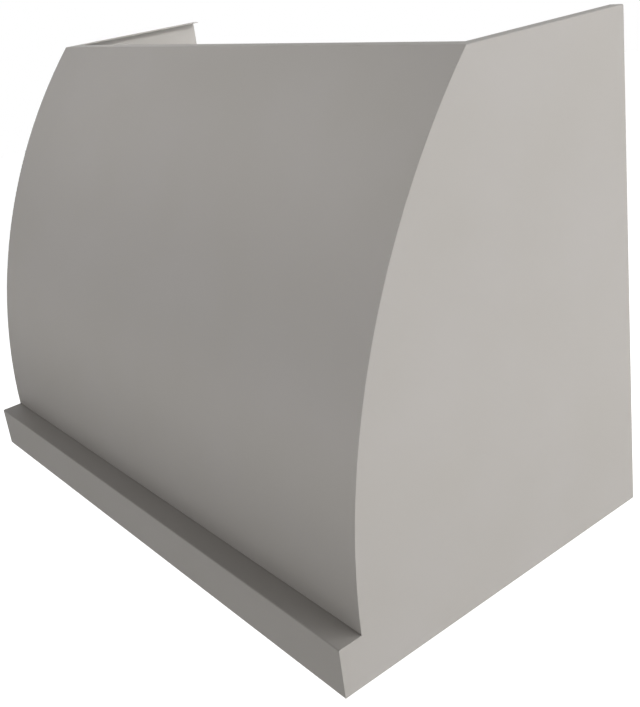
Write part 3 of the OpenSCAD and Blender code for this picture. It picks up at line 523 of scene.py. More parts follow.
# Cables and grommets: satin black with faint draw marks.
SHEATH = Grained("black_pvc_sheath", "cable", "#1f2022", 0.5, "#1c1d1f", "#232426", 1.2, 0.03, 0.4)
# Dials and pointers: white ink, slightly uneven.
INK = Grained("white_dial_print", "white_plastic", "#e6e6e2", 0.5, "#dcdcd8", "#ecece8", 0.6, 0.01, 0.3)


class Shape:
    """A mesh that is being built, in millimetres."""

    def __init__(self, node: str | None = None, weld: float = 2 * WELD) -> None:
        """Starts empty, or with a merged copy of a CAD node's mesh.

        Args:
            node: The CAD node, if any.
            weld: Points of its mesh that are nearer than this are one.
        """
        self.bm = bmesh.new()
        self.copied = node is not None
        self.last: list[bmesh.types.BMEdge] = []
        if node is not None:
            self.bm.from_mesh(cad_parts[node].data)
            bmesh.ops.scale(self.bm, vec=Vector((1 / MM,) * 3), verts=self.bm.verts)
            bmesh.ops.remove_doubles(self.bm, verts=self.bm.verts, dist=weld)

    def outward(self) -> Shape:
        """Turns every face outward."""
        bmesh.ops.recalc_face_normals(self.bm, faces=self.bm.faces)
        return self

    def block(self, low: Place, high: Place, edge: float = 0.0, segments: int = 2) -> Shape:
        """Adds a box with rounded edges.

        Args:
            low: Lowest corner.
            high: Highest corner.
            edge: Radius of its edges.
            segments: Facets across such an edge.

        Returns:
            The shape itself.
        """
        known = set(self.bm.edges)
        made = bmesh.ops.create_cube(self.bm, size=1.0)["verts"]
        bmesh.ops.scale(self.bm, vec=Vector(high) - Vector(low), verts=made)
        bmesh.ops.translate(self.bm, vec=(Vector(low) + Vector(high)) / 2, verts=made)
        return self.soften(edge, segments, known)

    def soften(self, edge: float, segments: int = 2, known: set[bmesh.types.BMEdge] | None = None,
               angle: float = 30.0) -> Shape:
        """Rounds the edges that are sharper than an angle.

        Args:
            edge: Radius of the rounding; 0 leaves them.
            segments: Facets across it.
            known: Edges that are left alone.
            angle: The angle in degrees.

        Returns:
            The shape itself.
        """
        if edge:
            limit = math.radians(angle)
            fresh = [e for e in self.bm.edges if e not in (known or ()) and e.is_manifold]
            bmesh.ops.bevel(self.bm, geom=[e for e in fresh if e.calc_face_angle(0) > limit], offset=edge,
                            offset_type="OFFSET", segments=segments, profile=0.5, affect="EDGES",
                            clamp_overlap=True, material=-1)
        return self

    def lathe(self, outline: Outline, centre: Place, axis: Axis, steps: int = 48,
              closed: bool = False) -> Shape:
        """Adds a turned form.

        Args:
            outline: Points of radius and place along the axis.
            centre: Point on the axis that the places count from.
            axis: Direction of the axis.
            steps: Facets round it.
            closed: Whether the last point joins the first, as for a ring.

        Returns:
            The shape itself.
        """
        middle = Vector(centre)
        verts = [self.bm.verts.new(middle + axis.side * r + axis.along * a) for r, a in outline]
        pairs = list(zip(verts, verts[1:])) + ([(verts[-1], verts[0])] if closed else [])
        edges = [self.bm.edges.new(pair) for pair in pairs]
        bmesh.ops.spin(self.bm, geom=[*verts, *edges], cent=middle, axis=axis.along, dvec=(0, 0, 0),
                       angle=math.tau, steps=steps, use_merge=True)
        bmesh.ops.remove_doubles(self.bm, verts=self.bm.verts, dist=WELD)
        return self

    def rod(self, centre: Place, axis: Axis, radius: float, length: float, edge: float = 0.3,
            steps: int = 32) -> Shape:
        """Adds a round bar with rounded ends.

        Args:
            centre: Its middle.
            axis: Its direction.
            radius: Its radius.
            length: Its length.
            edge: Radius of its ends' edges.
            steps: Facets round it.

        Returns:
            The shape itself.
        """
        h, inner = length / 2, radius - edge
        outline = [(0, -h), (inner, -h), (radius, edge - h), (radius, h - edge), (inner, h), (0, h)]
        return self.lathe(outline, centre, axis, steps)

    def line(self, start: Place, end: Place) -> Shape:
        """Starts a strip of sheet with its first edge."""
        self.last = [self.bm.edges.new([self.bm.verts.new(start), self.bm.verts.new(end)])]
        return self

    def ring(self, centre: Place, along: Place, radius: float, steps: int = 24) -> Shape:
        """Starts a pipe with its first ring.

        Args:
            centre: Middle of the ring.
            along: Direction in which the pipe leaves.
            radius: Radius of the pipe.
            steps: Facets round it.

        Returns:
            The shape itself.
        """
        made = bmesh.ops.create_circle(self.bm, cap_ends=False, radius=radius, segments=steps)["verts"]
        turn = Vector(along).to_track_quat("Z", "Y").to_matrix()
        bmesh.ops.rotate(self.bm, cent=(0, 0, 0), matrix=turn, verts=made)
        bmesh.ops.translate(self.bm, vec=Vector(centre), verts=made)
        self.last = list({e for v in made for e in v.link_edges})
        return self

    def run(self, step: Place) -> Shape:
        """Extends the strip or pipe straight by a step.

        Args:
            step: How far it goes.

        Returns:
            The shape itself.
        """
        made = bmesh.ops.extrude_edge_only(self.bm, edges=self.last)["geom"]
        moved = {v for v in made if isinstance(v, bmesh.types.BMVert)}
        self.last = [e for e in made if isinstance(e, bmesh.types.BMEdge) and moved.issuperset(e.verts)]
        bmesh.ops.translate(self.bm, vec=Vector(step), verts=list(moved))
        return self

    def bend(self, centre: Place, axis: Place, angle: float, steps: int = 6) -> Shape:
        """Extends the strip or pipe round a bend.

        Args:
            centre: Point on the bend's axis.
            axis: Direction of that axis.
            angle: Angle in degrees, right-handed.
            steps: Facets along it.

        Returns:
            The shape itself.
        """
        verts = list({v for e in self.last for v in e.verts})
        made = bmesh.ops.spin(self.bm, geom=[*verts, *self.last], cent=Vector(centre), axis=Vector(axis),
                              dvec=(0, 0, 0), angle=math.radians(angle), steps=steps, use_merge=False)
        self.last = [e for e in made["geom_last"] if isinstance(e, bmesh.types.BMEdge)]
        return self

    def cap(self) -> Shape:
        """Closes the open ends of a pipe."""
        bmesh.ops.holes_fill(self.bm, edges=[e for e in self.bm.edges if e.is_boundary], sides=0)
        return self

    def thicken(self, thickness: float, edge: float = 0.0) -> Shape:
        """Gives a strip its sheet thickness.

        Args:
            thickness: Thickness; a negative one goes to the other side.
            edge: Radius of the sheet's edges.

        Returns:
            The shape itself.
        """
        bmesh.ops.solidify(self.bm, geom=self.bm.faces[:], thickness=thickness)
        return self.soften(edge, 1, angle=60)

    def cut(self, point: Vector, normal: Vector) -> Shape:
        """Cuts off what lies beyond a plane and closes the cut.

        Args:
            point: A point of the plane.
            normal: Its direction, to the side that goes.

        Returns:
            The shape itself.
        """
        made = bmesh.ops.bisect_plane(
            self.bm, geom=[*self.bm.verts, *self.bm.edges, *self.bm.faces], dist=WELD / 2,
            plane_co=point, plane_no=normal, clear_outer=True)["geom_cut"]
        bmesh.ops.holes_fill(self.bm, edges=[e for e in made if isinstance(e, bmesh.types.BMEdge)], sides=0)
        return self

    def bridged(self) -> Shape:
        """Joins the two open rings that are left."""
        bmesh.ops.bridge_loops(self.bm, edges=[e for e in self.bm.edges if e.is_boundary])
        return self

    def repeated(self, places: Iterable[Matrix]) -> Shape:
        """Repeats the whole shape at each place, and only there.

        Args:
            places: The places.

        Returns:
            The shape itself.
        """
        one = bpy.data.meshes.new("one")
        self.bm.to_mesh(one)
        self.bm.clear()
        for place in places:
            copy = one.copy()
            copy.transform(place)
            self.bm.from_mesh(copy)
            bpy.data.meshes.remove(copy)
        bpy.data.meshes.remove(one)
        return self

    def join(self, *others: Shape) -> Shape:
        """Takes over what other shapes hold, and empties them.

        Args:
            others: The other shapes.

        Returns:
            The shape itself.
        """
        for other in others:
            if not other.copied:
                other.outward()
            carried = bpy.data.meshes.new("carried")
            other.bm.to_mesh(carried)
            other.bm.free()
            self.bm.from_mesh(carried)
            bpy.data.meshes.remove(carried)
        return self

    def piece(self, name: str, body: str, finish: Finish, *nodes: str, smooth: float = 35.0) -> None:
        """Finishes the shape as a piece that rides on a body, at the origin with its place in its mesh.

        Args:
            name: Name of the piece.
            body: The CAD body it rides on.
            finish: Its finish.
            nodes: CAD nodes that it stands for.
            smooth: Edges sharper than this, in degrees, stay crisp.
        """
        if not self.copied:
            self.outward()
        self.bm.normal_update()
        bmesh.ops.scale(self.bm, vec=Vector((MM,) * 3), verts=self.bm.verts)
        mesh = bpy.data.meshes.new(name)
        self.bm.to_mesh(mesh)
        self.bm.free()
        mesh.shade_smooth()
        mesh.set_sharp_from_angle(angle=math.radians(smooth))
        mesh.materials.append(finish.material())
        made = bpy.data.objects.new(name, mesh)
        bpy.context.scene.collection.objects.link(made)
        made.modifiers.new("flat_faces_lead", "WEIGHTED_NORMAL").keep_sharp = True
        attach(made, body)
        if nodes:
            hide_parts(*nodes)
        LOG.info("%s: %d faces on %s, %s", name, len(mesh.polygons), body, finish.name)


def at(x: float = 0.0, y: float = 0.0, z: float = 0.0, turn: float = 0.0, axis: Axis = Axis.Z) -> Matrix:
    """A place, turned by an angle in degrees about an axis through it."""
    return Matrix.Translation((x, y, z)) @ Matrix.Rotation(math.radians(turn), 4, axis.along)


def traced(node: str, edge: float = 0.0, level: float = 0.05, crisp: float = 50.0) -> Shape:
    """Copies a CAD node, with its edges rounded if they get a radius.

    Args:
        node: The CAD node.
        edge: Radius for its sharp edges.
        level: Facets that differ by less than this angle in degrees are one face.
        crisp: Edges that turn by more than this angle in degrees are sharp.

    Returns:
        The merged copy.
    """
    shape = Shape(node)
    if edge:
        bm = shape.bm
        bmesh.ops.dissolve_limit(bm, angle_limit=math.radians(level), verts=bm.verts, edges=bm.edges)
        shape.soften(edge, 1, angle=crisp)
        bmesh.ops.dissolve_degenerate(bm, dist=WELD, edges=bm.edges)
    return shape


def smooth_copy(node: str, body: str, finish: Finish, edge: float = 0.0, smooth: float = 35.0) -> None:
    """Replaces a CAD node by a merged copy with its own shading.

    Args:
        node: The CAD node.
        body: The body it rides on.
        finish: Its finish.
        edge: Radius for its sharp edges, if they get one.
        smooth: Edges sharper than this, in degrees, stay crisp.
    """
    traced(node, edge).piece(node + "_finished", body, finish, node, smooth=smooth)


def screw_heads(name: str, places: Iterable[Place], axis: Axis, radius: float, height: float,
                edge: float) -> None:
    """Sets plain zinc-plated screw heads on the hood.

    Args:
        name: Name of the piece that they are.
        places: Their middles.
        axis: Direction of the screws.
        radius: Radius of a head.
        height: Height of a head.
        edge: Radius of its edges.
    """
    heads = Shape()
    for place in places:
        heads.join(Shape().rod(place, axis, radius, height, edge, 20))
    heads.piece(name, HOOD, ZINC)


def lettering(text: str, height: float, place: Matrix, raised: float = 0.06) -> Shape:
    """Raised generic numbers.

    Args:
        text: What is written.
        height: Height of the letters.
        place: Where its middle goes, with Z out of the surface.
        raised: How far they stand out.

    Returns:
        The letters as a shape.
    """
    curve = bpy.data.curves.new("print", "FONT")
    curve.body, curve.extrude, curve.resolution_u = text, raised, 4
    curve.size = 1.4 * height  # a digit is about 0.7 of the font's size high
    curve.align_x, curve.align_y = "CENTER", "CENTER"
    holder = bpy.data.objects.new("print", curve)
    mesh = bpy.data.meshes.new_from_object(holder)
    mesh.transform(place)
    shape = Shape()
    shape.bm.from_mesh(mesh)
    bmesh.ops.remove_doubles(shape.bm, verts=shape.bm.verts, dist=WELD)
    bpy.data.objects.remove(holder)
    bpy.data.curves.remove(curve)
    bpy.data.meshes.remove(mesh)
    return shape


@dataclass
class Shell:
    """The painted sheets: two sides, curved front, apron with its ledge, rear rail.

    Attributes:
        sheet: Thickness of the sheet.
        edge: Radius of its deburred edges.
        bend: Outer radius of its folds.
        ledge: Depth of the ledge.
        flange: Width of the flange along the open top.
        lap: Length of the front panel's foot on the ledge.
        steps: Facets along the front panel's curve.
    """

    sheet: float = 1.5
    edge: float = 0.25
    bend: float = 2.0
    ledge: float = 38.1
    flange: float = 21.0
    lap: float = 15.0
    steps: int = 96

    def build(self) -> None:
        """Builds all of the shell."""
        for node in ("side_panel_left", "side_panel_right", "apron", "rear_rail"):
            smooth_copy(node, HOOD, PAINT, smooth=FOLDED)
        self.front_panel()

    def front_panel(self) -> None:
        """Rolls the front panel: foot, fold, one long arc, fold and top flange."""
        low, high = span("front_panel")
        depth, rise = -span("side_panel_left")[0].y - self.ledge, high.z - low.z
        run = depth + high.y - self.flange
        r = self.bend
        radius = (run * run + rise * rise) / (2 * run)
        axis_y, inner = radius - depth, radius - r
        start, end = math.asin(r / inner), math.asin((rise - r) / inner)
        foot_y, fold_y = axis_y - inner * math.cos(start), axis_y - inner * math.cos(end)
        right = (1, 0, 0)
        sheet = Shape().line((low.x, self.lap - depth, low.z), (high.x, self.lap - depth, low.z))
        sheet.run((0, foot_y + depth - self.lap, 0))
        sheet.bend((0, foot_y, low.z + r), right, math.degrees(start) - 90, 6)
        sheet.bend((0, axis_y, low.z), right, math.degrees(start - end), self.steps)
        sheet.bend((0, fold_y, high.z - r), right, math.degrees(end) - 90, 4)
        sheet.run((0, high.y - fold_y, 0)).thicken(-self.sheet, self.edge)
        sheet.piece("front_panel_sheet", HOOD, PAINT, "front_panel")


@dataclass
class WallMount:
    """Hanging rail of the hood and cleat on the wall.

    Attributes:
        crisp: Edges sharper than this, in degrees, stay crisp.
    """

    crisp: float = FOLDED

    def build(self) -> None:
        """Builds both."""
        smooth_copy("hanging_rail", HOOD, ZINC_SHEET, smooth=self.crisp)
        smooth_copy("wall_cleat", HOOD, ZINC, smooth=self.crisp)


@dataclass
class Screws:
    """The two kinds of screws.

    Attributes:
        head: Radius of a head.
        head_h: Height of a head.
        shank: Radius of a shank over its thread.
        length: Length of a shank.
        tip: Length of its point.
        pitch: Distance from ridge to ridge of the thread.
        ridge: Height of a ridge.
        neck: How much thinner the shank is under its head.
        socket: Radius of the hexagon socket over its corners.
    """

    head: float = 4.0
    head_h: float = 2.2
    shank: float = 2.0
    length: float = 8.0
    tip: float = 1.0
    pitch: float = 1.1
    ridge: float = 0.45
    neck: float = 0.3
    socket: float = 1.7

    def build(self) -> None:
        """Puts a screw at every place that the CAD has one."""
        for screw, name, finish, node, smooth in (
            (self.button(), "liner_button_screws", STEEL_X, "liner_screws", 50),
            (self.hex_washer(), "sheet_hex_screws", ZINC, "sheet_screws", 35),
        ):
            screw.repeated(self.places(node)).piece(name, HOOD, finish, node, smooth=smooth)

    def places(self, node: str) -> list[Matrix]:
        """Finds the screws of a CAD node.

        Args:
            node: The CAD node, whose solids are screws along X, Y or Z.

        Returns:
            The middle of each head's seat, turned so that Z points out of the head.
        """
        shape, places = Shape(node), []
        left = set(shape.bm.verts)
        while left:
            island = [left.pop()]
            for vert in island:
                near = {edge.other_vert(vert) for edge in vert.link_edges} & left
                left -= near
                island.extend(near)
            low, high = (Vector([pick(v.co[i] for v in island) for i in range(3)]) for pick in (min, max))
            middle = (low + high) / 2
            longest = max(range(3), key=lambda i: high[i] - low[i])
            out = Vector([float(i == longest) for i in range(3)])
            along = [(v.co - middle).dot(out) for v in island]
            wide = (self.head + self.shank) / 2
            rims = [a for a, v in zip(along, island) if (v.co - middle - out * a).length > wide]
            out *= math.copysign(1.0, sum(rims))
            seat = middle + out * ((high - low)[longest] / 2 - self.head_h)
            places.append(Matrix.Translation(seat) @ out.to_track_quat("Z", "Y").to_matrix().to_4x4())
        shape.bm.free()
        return places

    def thread(self) -> list[tuple[float, float]]:
        """Outline of a shank.

        Returns:
            Points of radius and height, from its point up to its seat at 0.
        """
        points = [(0.0, -self.length)]
        for k in range(int((self.length - self.tip) / self.pitch)):
            z = self.tip - self.length + k * self.pitch
            points += [(self.shank - self.ridge, z), (self.shank, z + self.pitch / 2)]
        return points + [(self.shank - self.neck, -0.1), (self.shank - self.neck, 0.0)]

    def button(self) -> Shape:
        """A domed head with a hexagon socket.

        Returns:
            The screw with its seat at the origin.
        """
        r, h = self.head, self.head_h
        dome = [(r, 0.0), (r, 0.3), (0.93 * r, 0.35 * h), (0.78 * r, 0.68 * h), (0.6 * r, 0.9 * h),
                (0.5 * r, h)]
        shape = Shape().lathe(self.thread() + dome, (0, 0, 0), Axis.Z, 24)
        shape.lathe([(self.socket, h), (self.socket, 0.4 * h), (0, 0.35 * h)], (0, 0, 0), Axis.Z, 6)
        return shape.bridged()

    def hex_washer(self) -> Shape:
        """A hexagon head on a washer, dished on top.

        Returns:
            The screw with its seat at the origin.
        """
        r, h = self.head, self.head_h
        washer = [(r - 0.1, 0.0), (r, 0.15), (r, 0.4), (r - 0.3, 0.6), (0, 0.7)]
        head = [(0, 0.5), (0.78 * r, 0.5), (0.78 * r, h - 0.25), (0.7 * r, h), (0.45 * r, h),
                (0.35 * r, h - 0.4), (0, h - 0.45)]
        shape = Shape().lathe(self.thread() + washer, (0, 0, 0), Axis.Z, 20)
        return shape.join(Shape().lathe(head, (0, 0, 0), Axis.Z, 6))


@dataclass
class Liner:
    """Stainless lining with the filters' hinge and magnets.

    Attributes:
        edge: Radius of the sheets' deburred edges.
        head_w: Width of a head of the hinge rod.
        head_out: How far it stands out of the rod.
        head_edge: Height of its dome.
        holder_edge: Radius of the magnet holders' edges.
        pole_w: Width of a magnet's pole plate.
        pole_l: Its length.
        pole_h: Its height.
        pole_gap: Distance of the two pole plates.
        pole_in: How far they stay inside the holder.
        air: Gap between pole plate and filter.
    """

    edge: float = 0.2
    head_w: float = 1.5
    head_out: float = 0.6
    head_edge: float = 0.5
    holder_edge: float = 0.8
    pole_w: float = 2.0
    pole_l: float = 11.9
    pole_h: float = 3.1
    pole_gap: float = 8.0
    pole_in: float = 0.6
    air: float = 0.2

    def build(self) -> None:
        """Builds all of the lining."""
        for node in ("liner_skirt", "filter_deck", "hinge_brackets"):
            smooth_copy(node, HOOD, STEEL_X, self.edge)
        self.hinge_rod()
        smooth_copy("magnet_catches", HOOD, BLACK_ABS, self.holder_edge)
        self.pole_plates()

    def hinge_rod(self) -> None:
        """Turns the rod with its domed heads."""
        low, high = span("hinge_rod")
        half, r = (high.x - low.x) / 2, (high.z - low.z) / 2
        end = [(0, half), (0.6 * r, half), (r, half - self.head_edge), (r, half - self.head_w),
               (r - self.head_out, half - self.head_w)]
        rod = Shape().lathe(end + [(r, -a) for r, a in reversed(end)], (low + high) / 2, Axis.X, 32)
        rod.piece("hinge_rod_turned", HOOD, STEEL_X, "hinge_rod")

    def pole_plates(self) -> None:
        """Sets two pole plates under each arm of the magnets' holders."""
        rear = span("magnet_catches")[1].y - self.pole_in
        foot = span("filter_frame_middle")[1].z + self.air
        plates = Shape()
        for side in Side:
            x0, x1 = (corner.x for corner in span(f"filter_frame_{side.value}"))
            for x in ((3 * x0 + x1) / 4, (x0 + 3 * x1) / 4):
                for plate in (x - self.pole_gap / 2, x + self.pole_gap / 2):
                    plates.block((plate - self.pole_w / 2, rear - self.pole_l, foot),
                                 (plate + self.pole_w / 2, rear, foot + self.pole_h), 0.2, 1)
        plates.piece("magnet_pole_plates", HOOD, ZINC)


@dataclass
class BaffleFilter:
    """One filter: mitred rim, knuckles, handle and two rows of folded baffles.

    Attributes:
        side: Where it is.
        sheet: Thickness of the sheet.
        rim: Width of the rim at sides and rear.
        front: Width of the rim under the handle.
        lower: Number of lower baffles.
        baffle_w: Width of a baffle.
        baffle_h: Height of a baffle.
        play: Gap between baffles and rim.
        fold: Outer radius of a fold.
        seam: Width of the seam at a mitre.
        rivet: Radius of a corner rivet.
        rivet_h: Height of its head.
        rivet_at: Its place beside the middle of the mitre.
        handle_w: Distance between the handle's posts.
        handle_drop: Drop of the handle below the rim.
        handle_r: Radius of its rod.
        handle_turn: Radius of its bends.
        washer: Thickness of the washers under its posts.
        knuckle_w: Width of a knuckle.
        knuckle_in: Distance of a knuckle's middle from the filter's side.
        knuckle_t: Thickness of its strap.
        knuckle_gap: Distance of the strap from the rim's inner edge.
        knuckle_turn: Angle of its roll in degrees.
    """

    side: Side
    sheet: float = 0.8
    rim: float = 14.0
    front: float = 26.0
    lower: int = 7
    baffle_w: float = 28.0
    baffle_h: float = 11.0
    play: float = 0.3
    fold: float = 1.6
    seam: float = 0.2
    rivet: float = 2.2
    rivet_h: float = 0.5
    rivet_at: tuple[float, float] = (4.2, 2.2)
    handle_w: float = 84.0
    handle_drop: float = 22.0
    handle_r: float = 3.0
    handle_turn: float = 8.0
    washer: float = 1.0
    knuckle_w: float = 24.0
    knuckle_in: float = 40.0
    knuckle_t: float = 1.5
    knuckle_gap: float = 1.0
    knuckle_turn: float = 300.0

    def __post_init__(self) -> None:
        """Takes the filter's place from the CAD."""
        low, high = span(f"filter_frame_{self.side.value}")
        baffles = span(f"filter_baffles_{self.side.value}")
        self.x0, self.x1, self.y0, self.z1 = low.x, high.x, low.y, high.z
        self.z0 = baffles[0].z - self.sheet
        self.y1 = baffles[1].y + (baffles[0].y - low.y)
        rod = span("hinge_rod")
        self.axis = (rod[0] + rod[1]) / 2

    def build(self) -> None:
        """Builds the filter on its own body."""
        side = self.side.value
        rim = self.rails().join(*self.rivets(), *self.knuckles(), self.handle())
        rim.piece(f"filter_{side}_rim", f"filter_{side}", STEEL_X, f"filter_frame_{side}", smooth=25)
        self.baffles().piece(f"filter_{side}_folded_baffles", f"filter_{side}", STEEL_Y,
                             f"filter_baffles_{side}")

    def corners(self) -> tuple[list[Vector], list[Vector]]:
        """Corners of the rim in plan.

        Returns:
            The outer and the inner corners, from the front left one anticlockwise.
        """
        x0, x1, y0, y1, r = self.x0, self.x1, self.y0, self.y1, self.rim
        outer = ((x0, y0), (x1, y0), (x1, y1), (x0, y1))
        inner = ((x0 + r, y0 + self.front), (x1 - r, y0 + self.front), (x1 - r, y1 - r), (x0 + r, y1 - r))
        return [Vector((x, y, self.z0)) for x, y in outer], [Vector((x, y, self.z0)) for x, y in inner]

    def rails(self) -> Shape:
        """Folds four channels, open to the inside, and cuts their ends to mitres.

        Returns:
            The rails.
        """
        outer, inner = self.corners()
        height, r, up = self.z1 - self.z0, self.fold, Vector((0, 0, 1))
        rails = Shape()
        for i in range(4):
            j = (i + 1) % 4
            along = (outer[j] - outer[i]).normalized()
            inward = up.cross(along)
            width = (inner[i] - outer[i]).dot(inward)
            fold = outer[i] + inward * r
            rail = Shape().line(outer[i] + inward * width, outer[j] + inward * width)
            rail.run(-inward * (width - r)).bend(fold + up * r, -along, 90, 4).run(up * (height - 2 * r))
            rail.bend(fold + up * (height - r), -along, 90, 4).run(inward * (width - r))
            rail.thicken(-self.sheet)
            middle = (outer[i] + outer[j]) / 2
            for k in (i, j):
                beyond = up.cross(inner[k] - outer[k]).normalized()
                if (middle - outer[k]).dot(beyond) > 0:
                    beyond = -beyond
                rail.cut(outer[k] - beyond * self.seam / 2, beyond)
            rails.join(rail)
        return rails

    def rivets(self) -> list[Shape]:
        """Sets a flat rivet on each side of every mitre.

        Returns:
            The rivets.
        """
        r, h, (out, down) = self.rivet, self.rivet_h, self.rivet_at
        head = [(0, -h), (0.6 * r, -0.9 * h), (0.9 * r, -0.5 * h), (r, 0), (0, 0.2 * h)]
        made = []
        for a, b in zip(*self.corners()):
            step = Vector((math.copysign(out, (b - a).x), -math.copysign(down, (b - a).y), 0))
            made += [Shape().lathe(head, (a + b) / 2 + step * way, Axis.Z, 16) for way in (1, -1)]
        return made

    def knuckles(self) -> list[Shape]:
        """Rolls the two straps round the hinge rod.

        Returns:
            The knuckles.
        """
        made = []
        y = self.y1 - self.rim + self.knuckle_gap
        for x in (self.x0 + self.knuckle_in, self.x1 - self.knuckle_in):
            strap = Shape().line((x - self.knuckle_w / 2, y, self.z0), (x + self.knuckle_w / 2, y, self.z0))
            strap.run((0, self.axis.y - y, 0)).bend(self.axis, (-1, 0, 0), self.knuckle_turn, 24)
            made.append(strap.thicken(-self.knuckle_t))
        return made

    def handle(self) -> Shape:
        """Bends the handle from rod, on two washers.

        Returns:
            The handle.
        """
        x, w, y = (self.x0 + self.x1 - self.handle_w) / 2, self.handle_w, self.y0 + self.front / 2
        turn, straight = self.handle_turn, self.handle_drop - self.handle_turn
        rod = Shape().ring((x, y, self.z0), (0, 0, -1), self.handle_r).run((0, 0, -straight))
        rod.bend((x + turn, y, self.z0 - straight), (0, -1, 0), 90, 10).run((w - 2 * turn, 0, 0))
        rod.bend((x + w - turn, y, self.z0 - straight), (0, -1, 0), 90, 10).run((0, 0, straight)).cap()
        for post in (x, x + w):
            middle = (post, y, self.z0 - self.washer / 2)
            rod.join(Shape().rod(middle, Axis.Z, 1.9 * self.handle_r, self.washer, 0.3, 24))
        return rod

    def baffles(self) -> Shape:
        """Folds the channels: a lower row open to the top, and one turned over between them.

        Returns:
            The baffles.
        """
        w, h, r, off = self.baffle_w, self.baffle_h, self.fold, self.sheet + self.play
        y0, y1 = self.y0 + off, self.y1 - off
        one = Shape().line((-w / 2, y0, h), (-w / 2, y1, h)).run((0, 0, r - h))
        one.bend((r - w / 2, y0, r), (0, -1, 0), 90, 4).run((w - 2 * r, 0, 0))
        one.bend((w / 2 - r, y0, r), (0, -1, 0), 90, 4).run((0, 0, h - r)).thicken(-self.sheet).outward()
        pitch = (self.x1 - self.x0 - 2 * off - w) / (self.lower - 1)
        x = (self.x0 + self.x1) / 2
        rows = ((self.lower, self.z0 + self.sheet, 0), (self.lower - 1, self.z1 - self.sheet, 180))
        return one.repeated(at(x + (k - (count - 1) / 2) * pitch, 0, z, turn, Axis.Y)
                            for count, z, turn in rows for k in range(count))


@dataclass
class AirBox:
    """Galvanised box over the filters.

    Attributes:
        edge: Radius of the sheets' deburred edges.
    """

    edge: float = 0.2

    def build(self) -> None:
        """Builds its walls and lid."""
        smooth_copy("plenum_front", HOOD, ZINC_SHEET, smooth=FOLDED)
        for node in ("plenum_back", "plenum_left", "plenum_right", "plenum_top"):
            smooth_copy(node, HOOD, ZINC_SHEET, self.edge)


